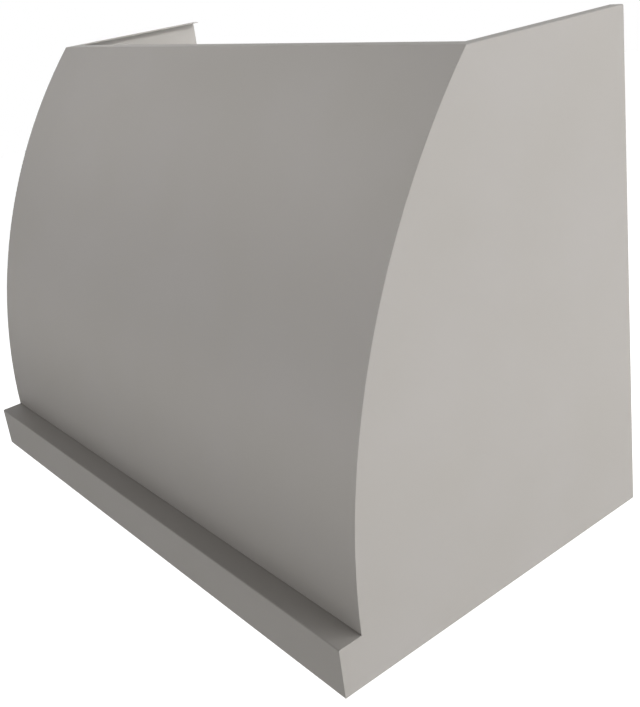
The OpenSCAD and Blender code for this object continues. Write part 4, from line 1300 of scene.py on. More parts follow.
@dataclass
class Blower:
    """Housing, impeller and motor.

    Attributes:
        edge: Radius of the sheets' deburred edges.
        shaft_r: Radius of the shaft's bore in the disc.
        hub: Radius of the disc's hub.
        disc_h: Half the disc's thickness.
        swage: Height of the ring that is pressed into it.
        screw_r: Radius of the hub's set screw.
        screw_in: Distance of its axis from the hub's end.
        cap_in: How much narrower the motor's ends are than its can.
        boss: Radius of the bosses at its ends.
        socket: Depth of the socket that takes its shaft.
        ribs: Number of cooling ribs on each end.
        rib_w: Width of a rib.
        bolts: Number of the motor's long bolts.
        bolt_r: Radius of a bolt's head.
        ear: Width of an ear of the capacitor.
        ear_t: Its thickness.
        ear_h: Its height.
    """

    edge: float = 0.2
    shaft_r: float = 4.03
    hub: float = 12.0
    disc_h: float = 1.0
    swage: float = 1.6
    screw_r: float = 2.4
    screw_in: float = 5.0
    cap_in: float = 6.0
    boss: float = 14.0
    socket: float = 36.0
    ribs: int = 16
    rib_w: float = 2.4
    bolts: int = 4
    bolt_r: float = 3.2
    ear: float = 9.0
    ear_t: float = 2.0
    ear_h: float = 17.0

    def build(self) -> None:
        """Builds the blower."""
        for node in ("scroll_wrapper", "scroll_side_left", "scroll_side_right"):
            smooth_copy(node, HOOD, ZINC_SHEET, self.edge)
        smooth_copy("impeller_blades", "rotor", ZINC_SHEET)
        smooth_copy("impeller_rings", "rotor", ZINC_SHEET, 2 * self.edge)
        smooth_copy("fan_shaft", "rotor", ZINC, 2 * self.edge)
        smooth_copy("motor_bracket", HOOD, ENAMEL, smooth=FOLDED)
        self.disc()
        self.motor()
        self.capacitor()

    def disc(self) -> None:
        """Presses the impeller's disc with a ring in it, on a hub with a set screw."""
        low, high = span("impeller_disc")
        middle, half, r = (low + high) / 2, (high.x - low.x) / 2, (high.z - low.z) / 2
        hub, t, bevel, fillet = self.hub, self.disc_h, 0.8, 1.5

        def face(side: float) -> list[tuple[float, float]]:
            """The disc's face from the hub out to the rim, on one side."""
            raised = side * t + self.swage
            return [(hub + fillet, side * t), (0.5 * r, side * t), (0.54 * r, raised), (0.66 * r, raised),
                    (0.7 * r, side * t), (r, side * t)]

        end = [(self.shaft_r, half), (hub - bevel, half), (hub, half - bevel), (hub, t + fillet)]
        outline = end + face(1) + face(-1)[::-1] + [(r, -a) for r, a in reversed(end)]
        disc = Shape().lathe(outline, middle, Axis.X, 72, closed=True)
        place = middle + Vector((half - self.screw_in, 0, hub))
        screw = Shape().rod(place, Axis.Z, self.screw_r, 1.6, 0.4, 12)
        disc.join(screw).piece("impeller_pressed_disc", "rotor", ZINC_SHEET, "impeller_disc")

    def motor(self) -> None:
        """Turns the motor's can with its crimped seams, ribs the ends and adds the bolts' heads."""
        low, high = span("motor")
        middle, h, can = (low + high) / 2, (high.x - low.x) / 2, (high.z - low.z) / 2
        cap, boss, crimp, bore = can - self.cap_in, self.boss, 1.2, self.shaft_r + 0.03
        half = [(boss, h), (boss + 1, h - 1), (boss + 2, h - 2.5), (cap - 4, h - 2.5), (cap - 1, h - 3.5),
                (cap, h - 6), (can - 1, h - 6), (can, h - 7), (can, h - 12), (can - crimp, h - 13),
                (can - crimp, h - 15), (can, h - 16)]
        shaft = [(0, h - self.socket), (bore, h - self.socket), (bore, h)]
        outline = shaft + half + [(r, -a) for r, a in reversed(half)] + [(0, -h)]
        motor = Shape().lathe(outline, middle, Axis.X, 72)
        bolt_at, rib_at = cap - 5, boss + 3
        for end in (-1, 1):
            x = middle.x + end * (h - 2.0)
            rib = Shape().block((-0.6, rib_at, -self.rib_w / 2), (0.6, bolt_at, self.rib_w / 2), 0.4, 1)
            rib.outward()
            turns = [360 * k / self.ribs for k in range(self.ribs)]
            motor.join(rib.repeated(at(x, middle.y, middle.z, turn, Axis.X) for turn in turns))
            for k in range(self.bolts):
                turn = at(x, middle.y, middle.z, 45 + 360 * k / self.bolts, Axis.X)
                motor.join(Shape().rod(turn @ Vector((0, bolt_at, 0)), Axis.X, self.bolt_r, 2.0, 0.4, 6))
        motor.piece("motor_can", HOOD, ENAMEL, "motor")

    def capacitor(self) -> None:
        """Moulds the capacitor's block with its ears and their two screws."""
        low, high = span("capacitor")
        ear, seat, inset, head_h = self.ear, high.y - self.ear_t, 5.0, 1.6
        case = Shape().block((low.x + ear, low.y, low.z), (high.x - ear, high.y, high.z), 1.6, 3)
        case.join(Shape().block((low.x, seat, low.z), (high.x, high.y, low.z + self.ear_h), 0.5, 1))
        case.join(Shape().block((low.x + ear + inset, low.y + inset, high.z - 1),
                                (high.x - ear - inset, high.y - inset, high.z + 0.4), 0.3, 1))
        case.piece("capacitor_case", HOOD, WHITE_ABS, "capacitor")
        places = [(x, seat - head_h / 2, low.z + self.ear_h / 2) for x in (low.x + ear / 2, high.x - ear / 2)]
        screw_heads("capacitor_screws", places, Axis.Y, 3.2, head_h, 0.4)


@dataclass
class Outlet:
    """Box, collar and backdraft damper.

    Attributes:
        edge: Radius of the sheets' deburred edges.
        rod_edge: Radius of the edges of the flaps' rod.
        flap_edge: Radius of a flap's edges.
        radius: Outer radius of the collar.
        wall: Wall of the collar.
        fillet: Size of the bend between collar and flange.
        bead: Height of the rolled bead.
        bead_w: Its width.
        bead_down: Distance of its middle from the collar's rim.
        stop: How far the flaps' stop stands in.
        stop_t: Thickness of the stop.
        stop_up: How far it reaches above the flaps' lower face.
        ribs: Distance from the rod and length of each rib of a flap.
        rib_w: Width of a rib.
        rib_h: Height of its top over the middle of the flap.
    """

    edge: float = 0.2
    rod_edge: float = 0.3
    flap_edge: float = 0.15
    radius: float = 101.0
    wall: float = 1.0
    fillet: float = 1.2
    bead: float = 1.4
    bead_w: float = 5.0
    bead_down: float = 19.5
    stop: float = 5.0
    stop_t: float = 1.5
    stop_up: float = 1.2
    ribs: tuple[tuple[float, float], ...] = ((30.0, 130.0), (58.0, 96.0))
    rib_w: float = 5.0
    rib_h: float = 1.1

    def build(self) -> None:
        """Builds the outlet."""
        smooth_copy("outlet_box", HOOD, ZINC_SHEET, self.edge)
        smooth_copy("outlet_plate", HOOD, ZINC_SHEET, self.edge)
        smooth_copy("damper_rod", HOOD, ZINC, self.rod_edge)
        self.collar()
        self.flap(Side.LEFT, -1)
        self.flap(Side.RIGHT, 1)

    def collar(self) -> None:
        """Rolls the collar: base flange, stop for the flaps, a stiffening bead and a deburred rim."""
        low, high = span("duct_collar")
        base = span("outlet_plate")
        middle = Vector((0, (base[0].y + base[1].y) / 2, low.z))
        flange, top, r, t, lip = high.x, high.z - low.z, self.radius, self.wall, self.fillet
        stop = span("damper_flap_left")[0].z - low.z + self.stop_up

        def bead(wall: float) -> list[tuple[float, float]]:
            """The bead on a face of the collar's wall, from below."""
            steps = ((0, -0.5), (0.7, -0.3), (1, 0), (0.7, 0.3), (0, 0.5))
            return [(wall + self.bead * out, top - self.bead_down + self.bead_w * up) for out, up in steps]

        outside = [(flange, 0), (flange, t), (r + lip, t), (r + 0.3, t + 0.3), (r, t + lip), *bead(r),
                   (r, top - 0.3), (r - 0.3, top)]
        inside = [(r - t, top), *reversed(bead(r - t)), (r - t, stop), (r - self.stop, stop),
                  (r - self.stop, stop - self.stop_t), (r - t, stop - self.stop_t), (r - t, 0)]
        collar = Shape().lathe(outside + inside, middle, Axis.Z, 120, closed=True)
        collar.piece("duct_collar_rolled", HOOD, ZINC_SHEET, "duct_collar")

    def flap(self, side: Side, out: int) -> None:
        """Finishes one flap and rolls its ribs into it.

        Args:
            side: Where it is.
            out: Sign of X on that side.
        """
        node = f"damper_flap_{side.value}"
        low, high = span(node)
        y, z = (low.y + high.y) / 2, (low.z + high.z) / 2
        flap = traced(node, self.flap_edge)
        for reach, length in self.ribs:
            x, w = out * reach, self.rib_w / 2
            corners = (x - w, y - length / 2, z + 0.2), (x + w, y + length / 2, z + self.rib_h)
            flap.join(Shape().block(*corners, 0.6, 2))
        flap.piece(f"{node}_ribbed", f"damper_{side.value}", STEEL_Y, node)


@dataclass
class Lamps:
    """Two lamps: heat sinks, bezels and lenses.

    Attributes:
        fins: Number of fins on a heat sink.
        fin_t: Thickness of a fin.
        pitch: Distance from fin to fin.
        base: Height of the sink's solid base.
        core: Radius of its core.
        edge: Size of the sink's chamfers.
        neck: Outer radius of the bezel's neck in the deck.
        lip: How far the bezel covers the lens.
        fit: Gap between lens and bezel.
        rings: Number of prism rings on a lens.
        dome: Height of the lens's dome.
    """

    fins: int = 5
    fin_t: float = 2.0
    pitch: float = 5.0
    base: float = 10.0
    core: float = 12.0
    edge: float = 0.4
    neck: float = 30.7
    lip: float = 2.0
    fit: float = 0.3
    rings: int = 9
    dome: float = 0.7

    def build(self) -> None:
        """Builds both lamps."""
        low, high = span("lamp_lenses")
        self.lens_r, self.lens_z = (high.y - low.y) / 2, (low.z, high.z)
        y = (low.y + high.y) / 2
        places = [at(x, y) for x in (low.x + self.lens_r, high.x - self.lens_r)]
        self.sink().repeated(places).piece("lamp_heat_sinks", HOOD, SINK, "lamp_housings")
        self.bezel().repeated(places).piece("lamp_turned_bezels", HOOD, STEEL_X, "lamp_bezels")
        self.lens().repeated(places).piece("lamp_prism_lenses", HOOD, LENS, "lamp_lenses", smooth=25)

    def sink(self) -> Shape:
        """Turns the heat sink from one bar.

        Returns:
            The sink on the Z axis.
        """
        low, high = span("lamp_housings")
        r, z, e = (high.y - low.y) / 2, low.z, self.edge
        outline = [(0, z), (r - e, z), (r, z + e), (r, z + self.base - e), (r - e, z + self.base)]
        for k in range(1, self.fins + 1):
            top = z + self.base + k * self.pitch
            under = top - self.fin_t
            outline += [(self.core, top - self.pitch + 0.1), (self.core, under), (r - e, under),
                        (r, under + e), (r, top - e), (r - e, top)]
        outline += [(self.core, high.z - 1), (self.core - 1, high.z), (0, high.z)]
        return Shape().lathe(outline, (0, 0, 0), Axis.Z, 64).outward()

    def bezel(self) -> Shape:
        """Turns the bezel with its rounded face and the step for the lens.

        Returns:
            The bezel on the Z axis.
        """
        low, high = span("lamp_bezels")
        deck = span("filter_deck")[0].z
        r, z, lens, seat = (high.y - low.y) / 2, low.z, self.lens_r, self.lens_z[0]
        pocket, hole = lens + self.fit, lens - self.lip
        outline = [(pocket, high.z), (pocket, seat), (hole, seat), (hole, z + 0.4), (lens - 1.2, z + 0.05),
                   (lens, z), (r - 4, z), (r - 2, z + 0.35), (r - 0.6, z + 1.2), (r, z + 2.3), (r, deck),
                   (self.neck, deck), (self.neck, high.z)]
        return Shape().lathe(outline, (0, 0, 0), Axis.Z, 96, closed=True).outward()

    def lens(self) -> Shape:
        """Moulds the lens with rings of prisms on a slight dome.

        Returns:
            The lens on the Z axis.
        """
        low, high = self.lens_z
        reach = self.lens_r - 2 * self.fit - self.lip
        outline = [(0, high), (self.lens_r, high), (self.lens_r, low), (reach, low)]
        for k in range(self.rings - 1, 0, -1):
            r = reach * k / self.rings
            face = low - self.dome * (1 - (r / reach) ** 2)
            outline += [(r + 0.55 * reach / self.rings, face - 0.2), (r, face + 0.15)]
        return Shape().lathe(outline + [(0, low - self.dome)], (0, 0, 0), Axis.Z, 64).outward()


@dataclass
class Controls:
    """Plate, knobs, switches and their cover.

    Attributes:
        plate_edge: Radius of the plate's edges.
        case_edge: Radius of the edges of the switch and the dimmer.
        bore: Radius of a knob's bore.
        face_t: Thickness of the grip's face over the bore.
        skirt_h: Height of a knob's skirt.
        collar_h: Height of the round part between skirt and grip.
        grip_w: Width of the grip.
        grip_in: Distance of its ends from the skirt's side.
        ribs: Number of ribs round the skirt.
        rib_w: Width of a rib.
        rib_h: Room that the ribs have outside the skirt.
        line_w: Width of the pointer's line on the grip.
        print_h: How far the print reaches into the plate; it stands out twice as far.
        tick: Length of the fan's ticks.
        tick_w: Width of a tick.
        tick_gap: Distance of the ticks from the knob.
        digit: Height of a number.
        digit_gap: Distance from a tick's end to its number's middle.
        speeds: Turns in degrees at which the fan's speeds stand.
        dim_steps: Number of ticks of the dimmer.
        dim_turn: Turn of the dimmer in degrees.
        dim_tick: Length of its first tick.
        dim_growth: How much longer its last tick is.
        sign_gap: Distance from the ticks' near ends to the signs' middles.
        blades: Number of blades of the fan sign.
        blade_r: Radius of such a blade.
        blade_at: Distance of its middle from the sign's middle.
        bulb_r: Radius of the bulb sign.
    """

    plate_edge: float = 0.7
    case_edge: float = 0.5
    bore: float = 3.1
    face_t: float = 3.0
    skirt_h: float = 5.0
    collar_h: float = 3.0
    grip_w: float = 11.0
    grip_in: float = 3.6
    ribs: int = 36
    rib_w: float = 0.9
    rib_h: float = 0.4
    line_w: float = 1.4
    print_h: float = 0.05
    tick: float = 3.0
    tick_w: float = 0.8
    tick_gap: float = 2.2
    digit: float = 4.0
    digit_gap: float = 3.6
    speeds: tuple[int, ...] = (0, 45, 90, 135)
    dim_steps: int = 11
    dim_turn: float = 270.0
    dim_tick: float = 1.2
    dim_growth: float = 3.4
    sign_gap: float = 5.0
    blades: int = 4
    blade_r: float = 1.25
    blade_at: float = 1.7
    bulb_r: float = 2.0

    def build(self) -> None:
        """Builds the controls."""
        smooth_copy("control_plate", HOOD, BLACK_ABS, self.plate_edge)
        smooth_copy("control_cover", HOOD, ZINC_SHEET, smooth=FOLDED)
        smooth_copy("fan_switch", HOOD, BLACK_ABS, self.case_edge)
        smooth_copy("light_dimmer", HOOD, BLACK_ABS, self.case_edge)
        for knob in Knob:
            self.knob(knob.value)
            smooth_copy(f"{knob.value}_knob_stem", f"{knob.value}_control", ZINC)
        self.dials()

    def knob(self, use: str) -> None:
        """Moulds a knob, ribs its skirt and fills its pointer with white.

        Args:
            use: What the knob turns, as in its node's name.
        """
        low, high = span(f"{use}_knob")
        x, y, crest = (low.x + high.x) / 2, (low.y + high.y) / 2, (high.x - low.x) / 2
        r, z0, z1, bore, end = crest - self.rib_h, low.z, high.z, self.bore, low.z + self.face_t
        skirt = z1 - self.skirt_h
        collar = skirt - self.collar_h
        outline = [(bore, z1), (r - 0.4, z1), (r, z1 - 0.4), (r, skirt + 0.6), (r - 0.6, skirt),
                   (r - 1.8, skirt), (r - 2.6, collar + 0.8), (r - 3.4, collar), (0, collar), (0, end),
                   (bore, end)]
        moulded = Shape().lathe(outline, (x, y, 0), Axis.Z, 72, closed=True)
        w, reach = self.grip_w / 2, r - self.grip_in
        grip = Shape().block((x - w, y - reach, z0), (x + w, y + reach, collar + 1), 1.6, 4)
        w = self.rib_w / 2
        rib = Shape().block((-w, r - 0.3, skirt + 0.5), (w, crest - 0.05, z1 - 0.5), 0.25, 1).outward()
        ribs = rib.repeated(at(x, y, 0, 360 * k / self.ribs) for k in range(self.ribs))
        moulded.join(grip, ribs).piece(f"{use}_knob_moulded", f"{use}_control", BLACK_ABS, f"{use}_knob")
        w = self.line_w / 2
        line = Shape().block((x - w, y - r + 5, z0 - 0.05), (x + w, y - 2, z0 + 0.6), 0.1, 1)
        w += 0.1
        line.block((x - w, y - r + 0.2, skirt - 0.08), (x + w, y - r + 2, skirt + 0.4), 0.1, 1)
        line.piece(f"{use}_knob_pointer", f"{use}_control", INK)

    def dials(self) -> None:
        """Prints the dials: numbers for the fan, a growing wedge of ticks for the light, and two signs."""
        face = span("control_plate")[0].z - self.print_h
        fan, light = ((low + high) / 2 for low, high in (span(f"{knob.value}_knob") for knob in Knob))
        fan.z = light.z = face
        ring = span("fan_knob")[1].x - fan.x + self.tick_gap
        marks = Shape()
        for number, turn in enumerate(self.speeds):
            ray = Vector((math.sin(math.radians(turn)), -math.cos(math.radians(turn)), 0))
            spot = fan + ray * (ring + self.tick + self.digit_gap)
            marks.join(self.mark(fan, turn, ring, self.tick))
            marks.join(lettering(str(number), self.digit, at(*spot, 180, Axis.X)))
        for k in range(self.dim_steps):
            share = k / (self.dim_steps - 1)
            marks.join(self.mark(light, self.dim_turn * share, ring, self.dim_tick + self.dim_growth * share))
        corner = Vector((-1, -1, 0)).normalized() * (ring + self.sign_gap)
        marks.join(self.wheel(fan + corner), self.bulb(light + corner))
        marks.piece("dial_print", HOOD, INK)

    def mark(self, middle: Vector, turn: float, ring: float, length: float) -> Shape:
        """A radial tick.

        Args:
            middle: Where the knob's axis meets the print.
            turn: Turn from the front in degrees.
            ring: Distance of its near end from the axis.
            length: Its length.

        Returns:
            The tick.
        """
        w, h = self.tick_w / 2, self.print_h
        tick = Shape().block((-w, -ring - length, -h), (w, -ring, 2 * h))
        return tick.repeated([at(*middle, turn)])

    def wheel(self, middle: Vector) -> Shape:
        """The fan sign: a wheel of round blades.

        Args:
            middle: Its middle.

        Returns:
            The sign.
        """
        r, h = self.blade_r, self.print_h
        blade = Shape().lathe([(0, -h), (r, -h), (r, 2 * h), (0, 2 * h)], (self.blade_at, 0, 0), Axis.Z, 16)
        return blade.repeated(at(*middle, 360 * k / self.blades) for k in range(self.blades))

    def bulb(self, middle: Vector) -> Shape:
        """The lamp sign: a round bulb over its cap.

        Args:
            middle: Its middle.

        Returns:
            The sign.
        """
        x, y, z, h = *middle, self.print_h
        bulb = Shape().rod((x, y - 0.8, z), Axis.Z, self.bulb_r, 2 * h, 0.01, 24)
        return bulb.block((x - 0.9, y + 1.6, z - h), (x + 0.9, y + 2.9, z + h))


@dataclass
class Wiring:
    """Junction box, driver, cables and their grommets.

    Attributes:
        cable: Radius of a cable.
        turn: Radius of its bends.
        wall: Wall of the junction box.
        edge: Radius of its edges.
        knockouts: Heights of its two knockouts above its foot.
        knockout_r: Radius of a knockout.
        gland_bore: Radius of the gland's bore.
        tube: Radius of the gland's tube.
        flange: Thickness of its hexagon flange.
        nut: Thickness of its lock nut.
        ear: Length of an ear of the driver.
        ear_t: Thickness of the driver's foot plate.
        ribs: Number of ribs on its lid.
        rib_in: Distance of the first rib from the left ear.
        rib_w: Width of a rib.
        rib_pitch: Distance from rib to rib.
        grommet_w: Width of a grommet.
        grommet_t: Thickness of its ring.
        drop_gap: Distance of the motor cable's drop from the motor's bracket.
    """

    cable: float = 3.5
    turn: float = 14.0
    wall: float = 1.5
    edge: float = 0.4
    knockouts: tuple[float, float] = (16.0, 34.0)
    knockout_r: float = 7.0
    gland_bore: float = 8.0
    tube: float = 10.9
    flange: float = 4.0
    nut: float = 3.0
    ear: float = 10.0
    ear_t: float = 1.4
    ribs: int = 5
    rib_in: float = 12.0
    rib_w: float = 4.0
    rib_pitch: float = 11.0
    grommet_w: float = 4.4
    grommet_t: float = 3.0
    drop_gap: float = 30.0

    def build(self) -> None:
        """Builds the wiring."""
        self.box_low, self.box_high = span("junction_box")
        self.box()
        smooth_copy("junction_cover", HOOD, ZINC_SHEET, self.edge)
        self.gland()
        self.driver()
        self.control_cable()
        self.motor_cable()
        self.lamp_cables()

    def box(self) -> None:
        """Finishes the junction box and presses its knockouts."""
        y = (self.box_low.y + self.box_high.y) / 2
        box = traced("junction_box", self.edge)
        for up in self.knockouts:
            place = (self.box_low.x, y, self.box_low.z + up)
            box.join(Shape().rod(place, Axis.X, self.knockout_r, 0.5, 0.15, 32))
        box.piece("junction_box_folded", HOOD, ZINC_SHEET, "junction_box")

    def gland(self) -> None:
        """Turns the supply's gland: tube, hexagon flange and lock nut round an open bore."""
        low, high = span("cable_clamp")
        middle, r = ((low.x + high.x) / 2, 0, (low.z + high.z) / 2), (high.x - low.x) / 2
        seat, bore, tube = self.box_high.y, self.gland_bore, self.tube
        outline = [(bore, low.y), (tube, low.y), (tube, high.y - 2), (tube - 1.5, high.y), (bore, high.y)]
        gland = Shape().lathe(outline, middle, Axis.Y, 48, closed=True)
        for y0, y1 in ((seat, seat + self.flange), (seat - self.wall - self.nut, seat - self.wall)):
            hexagon = [(bore, y0), (r, y0), (r, y1), (bore, y1)]
            gland.join(Shape().lathe(hexagon, middle, Axis.Y, 6, closed=True).soften(0.5, 1))
        gland.piece("supply_gland", HOOD, ZINC, "cable_clamp")

    def driver(self) -> None:
        """Moulds the lamps' driver with ribs on its lid and a screw in each ear."""
        low, high = span("led_driver")
        ear = self.ear
        case = Shape().block((low.x + ear, low.y, low.z), (high.x - ear, high.y, high.z), 1.5, 3)
        case.join(Shape().block((low.x, low.y, low.z), (high.x, high.y, low.z + self.ear_t), 0.5, 1))
        for k in range(self.ribs):
            x = low.x + ear + self.rib_in + k * self.rib_pitch
            corners = (x, low.y + 5, high.z - 0.5), (x + self.rib_w, high.y - 5, high.z + 0.6)
            case.join(Shape().block(*corners, 0.4, 1))
        case.piece("led_driver_case", HOOD, WHITE_ABS, "led_driver")
        y, z = (low.y + high.y) / 2, low.z + 2.2
        places = [(low.x + ear / 2, y, z), (high.x - ear / 2, y, z)]
        screw_heads("led_driver_screws", places, Axis.Z, 3.4, 1.8, 0.5)

    def grommet(self, centre: Place, axis: Axis) -> Shape:
        """A rubber ring in a hole that a cable goes through.

        Args:
            centre: Its middle.
            axis: The cable's direction there.

        Returns:
            The ring.
        """
        r, w, bevel = self.cable + 0.05, self.grommet_w / 2, 0.6
        rim = r + self.grommet_t
        half = [(r, w), (rim - bevel, w), (rim, w - bevel)]
        outline = [(radius, -place) for radius, place in half] + half[::-1]
        return Shape().lathe(outline, centre, axis, 32, closed=True)

    def laid(self, *points: Place) -> Shape:
        """Lays a cable from point to point, with a bend at each corner.

        Args:
            points: Its start, its corners, which are right angles, and its end.

        Returns:
            The cable.
        """
        spots = [Vector(point) for point in points]
        ways = [(end - start).normalized() for start, end in zip(spots, spots[1:])]
        cable, place = Shape().ring(spots[0], ways[0], self.cable), spots[0]
        for corner, way, onward in zip(spots[1:], ways, ways[1:]):
            cable.run(corner - way * self.turn - place)
            cable.bend(corner + (onward - way) * self.turn, way.cross(onward), 90, 10)
            place = corner + onward * self.turn
        return cable.run(spots[-1] - place).cap()

    def control_cable(self) -> None:
        """Lays the cable from the junction box over the air box and down to the controls."""
        low, high = span("control_cable")
        x, y, z, foot = low.x + self.cable, low.y + self.cable, high.z - self.cable, low.z + self.cable
        cable = self.laid((x, high.y, z), (x, y, z), (x, y, foot), (high.x, y, foot))
        cover = span("control_cover")[0].x
        cable.join(self.grommet((x, self.box_low.y, z), Axis.Y), self.grommet((cover, y, foot), Axis.X))
        cable.piece("control_cable_laid", HOOD, SHEATH, "control_cable")

    def motor_cable(self) -> None:
        """Lays the cable from the junction box down to the motor."""
        low, high = span("motor_cable")
        lid = span("plenum_top")
        y, z, foot = (low.y + high.y) / 2, high.z - self.cable, low.z + self.cable
        x = span("motor_bracket")[0].x - self.drop_gap
        cable = self.laid((low.x, y, z), (x, y, z), (x, y, foot), (high.x, y, foot))
        cable.join(self.grommet((self.box_high.x, y, z), Axis.X),
                   self.grommet((x, y, (lid[0].z + lid[1].z) / 2), Axis.Z),
                   self.grommet((high.x, y, foot), Axis.X))
        cable.piece("motor_cable_laid", HOOD, SHEATH, "motor_cable")

    def lamp_cables(self) -> None:
        """Lays the three straight runs between cover, driver and lamps."""
        low, high = span("lamp_cables")
        y, z = (low.y + high.y) / 2, (low.z + high.z) / 2
        cover, driver = ([corner.x for corner in span(node)] for node in ("control_cover", "led_driver"))
        runs = Shape()
        for start, end in ((low.x, cover[0] + 1), (cover[1] - 1, driver[0] + self.ear),
                           (driver[1] - self.ear, high.x)):
            runs.join(self.laid((start, y, z), (end, y, z)))
        for x in (low.x + 1.5, *cover, driver[0] + self.ear - 1, driver[1] - self.ear + 1, high.x - 1.5):
            runs.join(self.grommet((x, y, z), Axis.X))
        runs.piece("lamp_cables_laid", HOOD, SHEATH, "lamp_cables")


@dataclass
class SoftBox:
    """A large soft lamp.

    Attributes:
        name: Its name.
        at: Its place in metres.
        size: Its side lengths in metres.
        power: Its power in watts.
        aim: The point it shines at.
        spread: Angle in degrees that its grid lets through.
    """

    name: str
    at: Place
    size: tuple[float, float]
    power: float
    aim: Place = (0.0, -0.3, 0.38)
    spread: float = 180.0

    def build(self) -> None:
        """Hangs the lamp."""
        data = bpy.data.lights.new(self.name, "AREA")
        data.spread = math.radians(self.spread)
        data.shape, data.size, data.size_y, data.energy = "RECTANGLE", *self.size, self.power
        lamp = bpy.data.objects.new(self.name, data)
        lamp.location = self.at
        lamp.rotation_euler = (Vector(self.aim) - Vector(self.at)).to_track_quat("-Z", "Y").to_euler()
        bpy.context.scene.collection.objects.link(lamp)


@dataclass
class PhotoCamera:
    """The camera where the photograph was taken from, fitted to the hood's corners in it.

    Attributes:
        width: Width of the photograph in pixels.
        height: Its height, its longer side.
        focal: Focal length in pixels.
        centre: The pixel that the camera looks straight at, from the top left.
        place: The camera's place in metres.
        right: Direction to its right.
        up: Direction of the picture's top.
        back: Direction behind it.
        sensor: Longer side of its sensor in millimetres.
        clip: Nearest and farthest distance that it shows, in metres.
    """

    width: float = 640.0
    height: float = 707.0
    focal: float = 994.9
    centre: tuple[float, float] = (273.75, 298.43)
    place: Place = (1.3571, -1.1916, 0.9105)
    right: Place = (0.6001, 0.7877, -0.1396)
    up: Place = (-0.1926, 0.3116, 0.9305)
    back: Place = (0.7764, -0.5315, 0.3387)
    sensor: float = 36.0
    clip: tuple[float, float] = (0.05, 60.0)

    def build(self) -> None:
        """Sets the camera and makes it the scene's."""
        data = bpy.data.cameras.new("camera")
        data.sensor_width, data.lens = self.sensor, self.focal * self.sensor / self.height
        data.shift_x = (self.width / 2 - self.centre[0]) / self.height
        data.shift_y = (self.centre[1] - self.height / 2) / self.height
        data.clip_start, data.clip_end = self.clip
        camera = bpy.data.objects.new("camera", data)
        camera.rotation_euler = Matrix((self.right, self.up, self.back)).transposed().to_euler()
        camera.location = self.place
        bpy.context.scene.collection.objects.link(camera)
        bpy.context.scene.camera = camera


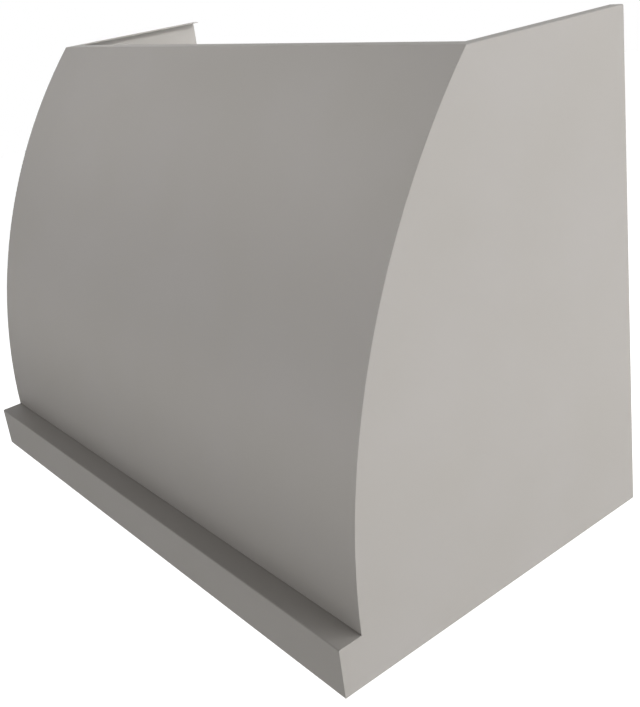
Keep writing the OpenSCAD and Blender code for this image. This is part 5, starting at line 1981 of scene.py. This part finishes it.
@dataclass
class Studio:
    """Floor, surroundings, lamps and camera.

    Attributes:
        floor_z: Height of the floor in metres; the hood hangs above it.
        floor_half: Half its side length in metres.
        floor_glow: Own light of the floor towards the camera; with the lamps' light it is white.
        grain: Size of the floor's grain in millimetres.
        ambient: Strength of the even light from all round.
        white: Colour of the surroundings.
        lamps: The lamps, whose powers give the hood's faces the photograph's shades.
    """

    floor_z: float = -0.9
    floor_half: float = 9.0
    floor_glow: float = 0.8
    grain: float = 1000 / 60
    ambient: float = 0.15
    white: str = "#ffffff"
    lamps: tuple[SoftBox, ...] = (
        SoftBox("right_softbox", (4.8, 2.2, 1.7), (4.6, 4.2), 187),
        SoftBox("front_softbox", (1.6, -3.6, 0.25), (2.0, 0.8), 14.3, (0.0, -0.5, 0.3)),
        SoftBox("front_strip", (0.3, -3.2, 0.9), (1.6, 0.4), 1.56, (0.0, -0.3, 0.78), 24),
        SoftBox("low_strip", (0.5, -3.2, 0.4), (1.6, 0.2), 0.16, (0.05, -0.5, 0.29), 8),
        SoftBox("back_softbox", (0.8, 2.8, 2.8), (4.4, 3.6), 50, (-0.5, -0.2, 0.6)),
        SoftBox("inner_strip", (2.4, 0.6, 2.2), (0.5, 0.3), 0.26, (-0.53, -0.1, 0.72), 14),
        SoftBox("left_softbox", (-3.6, 0.2, 1.5), (3.2, 3.0), 17),
    )

    def build(self) -> None:
        """Builds the studio."""
        self.floor()
        self.world()
        PhotoCamera().build()
        for lamp in self.lamps:
            lamp.build()
        bpy.context.scene.view_settings.view_transform = "Standard"

    def floor(self) -> None:
        """Lays the pale floor, white to the camera and keeping the hood's soft shadow."""
        sheet = bmesh.new()
        bmesh.ops.create_grid(sheet, x_segments=2, y_segments=2, size=self.floor_half)
        bmesh.ops.translate(sheet, vec=(0, 0, self.floor_z), verts=sheet.verts)
        mesh = bpy.data.meshes.new("studio_floor")
        sheet.to_mesh(mesh)
        sheet.free()
        mesh.materials.append(self.floor_paint())
        made = bpy.data.objects.new("studio_floor", mesh)
        bpy.context.scene.collection.objects.link(made)

    def floor_paint(self) -> Material:
        """Matt pale paint that glows towards the camera, and is clear from below.

        Returns:
            The material.
        """
        coat = Coat("white_studio_floor", "#f2f1ef", 0.7)
        coat.relief(coat.noise(self.grain), 0.5, 0.1)
        tree = coat.tree
        share = add(tree, "Math", {"operation": "MULTIPLY", 0: self.seen_rays(tree), 1: self.floor_glow})
        glow = add(tree, "Emission", {"Color": linear(self.white), "Strength": share.outputs["Value"]})
        both = add(tree, "AddShader", {0: coat.shader.outputs["BSDF"], 1: glow.outputs["Emission"]})
        below = add(tree, "NewGeometry").outputs["Backfacing"]
        clear = add(tree, "BsdfTransparent").outputs["BSDF"]
        mixed = add(tree, "MixShader", {0: below, 1: both.outputs["Shader"], 2: clear})
        tree.links.new(mixed.outputs["Shader"], coat.output.inputs["Surface"])
        return coat.material

    def seen_rays(self, tree: NodeTree) -> NodeSocket:
        """Tells the rays that show the background from those that only light the hood.

        Args:
            tree: Tree that gets the nodes.

        Returns:
            1 for camera, glossy and transmission rays, 0 for others.
        """
        rays = add(tree, "LightPath").outputs
        seen = rays["Is Camera Ray"]
        for kind in ("Is Glossy Ray", "Is Transmission Ray"):
            seen = add(tree, "Math", {"operation": "MAXIMUM", 0: seen, 1: rays[kind]}).outputs["Value"]
        return seen

    def world(self) -> None:
        """Sets the white surroundings and the even light."""
        world = bpy.data.worlds.new("studio")
        world.use_nodes = True
        tree = world.node_tree
        tree.nodes.clear()
        even, full = (
            add(tree, "Background", {"Color": linear(self.white), "Strength": strength}).outputs["Background"]
            for strength in (self.ambient, 1.0))
        mixed = add(tree, "MixShader", {0: self.seen_rays(tree), 1: even, 2: full})
        add(tree, "OutputWorld", {"Surface": mixed.outputs["Shader"]})
        bpy.context.scene.world = world


def main() -> None:
    """Builds every sub-assembly, then the studio."""
    logging.basicConfig(level=logging.INFO, format="%(message)s")
    Shell().build()
    WallMount().build()
    Liner().build()
    Screws().build()
    for side in Side:
        BaffleFilter(side).build()
    AirBox().build()
    Blower().build()
    Outlet().build()
    Lamps().build()
    Controls().build()
    Wiring().build()
    Studio().build()


if __name__ == "__main__":
    main()
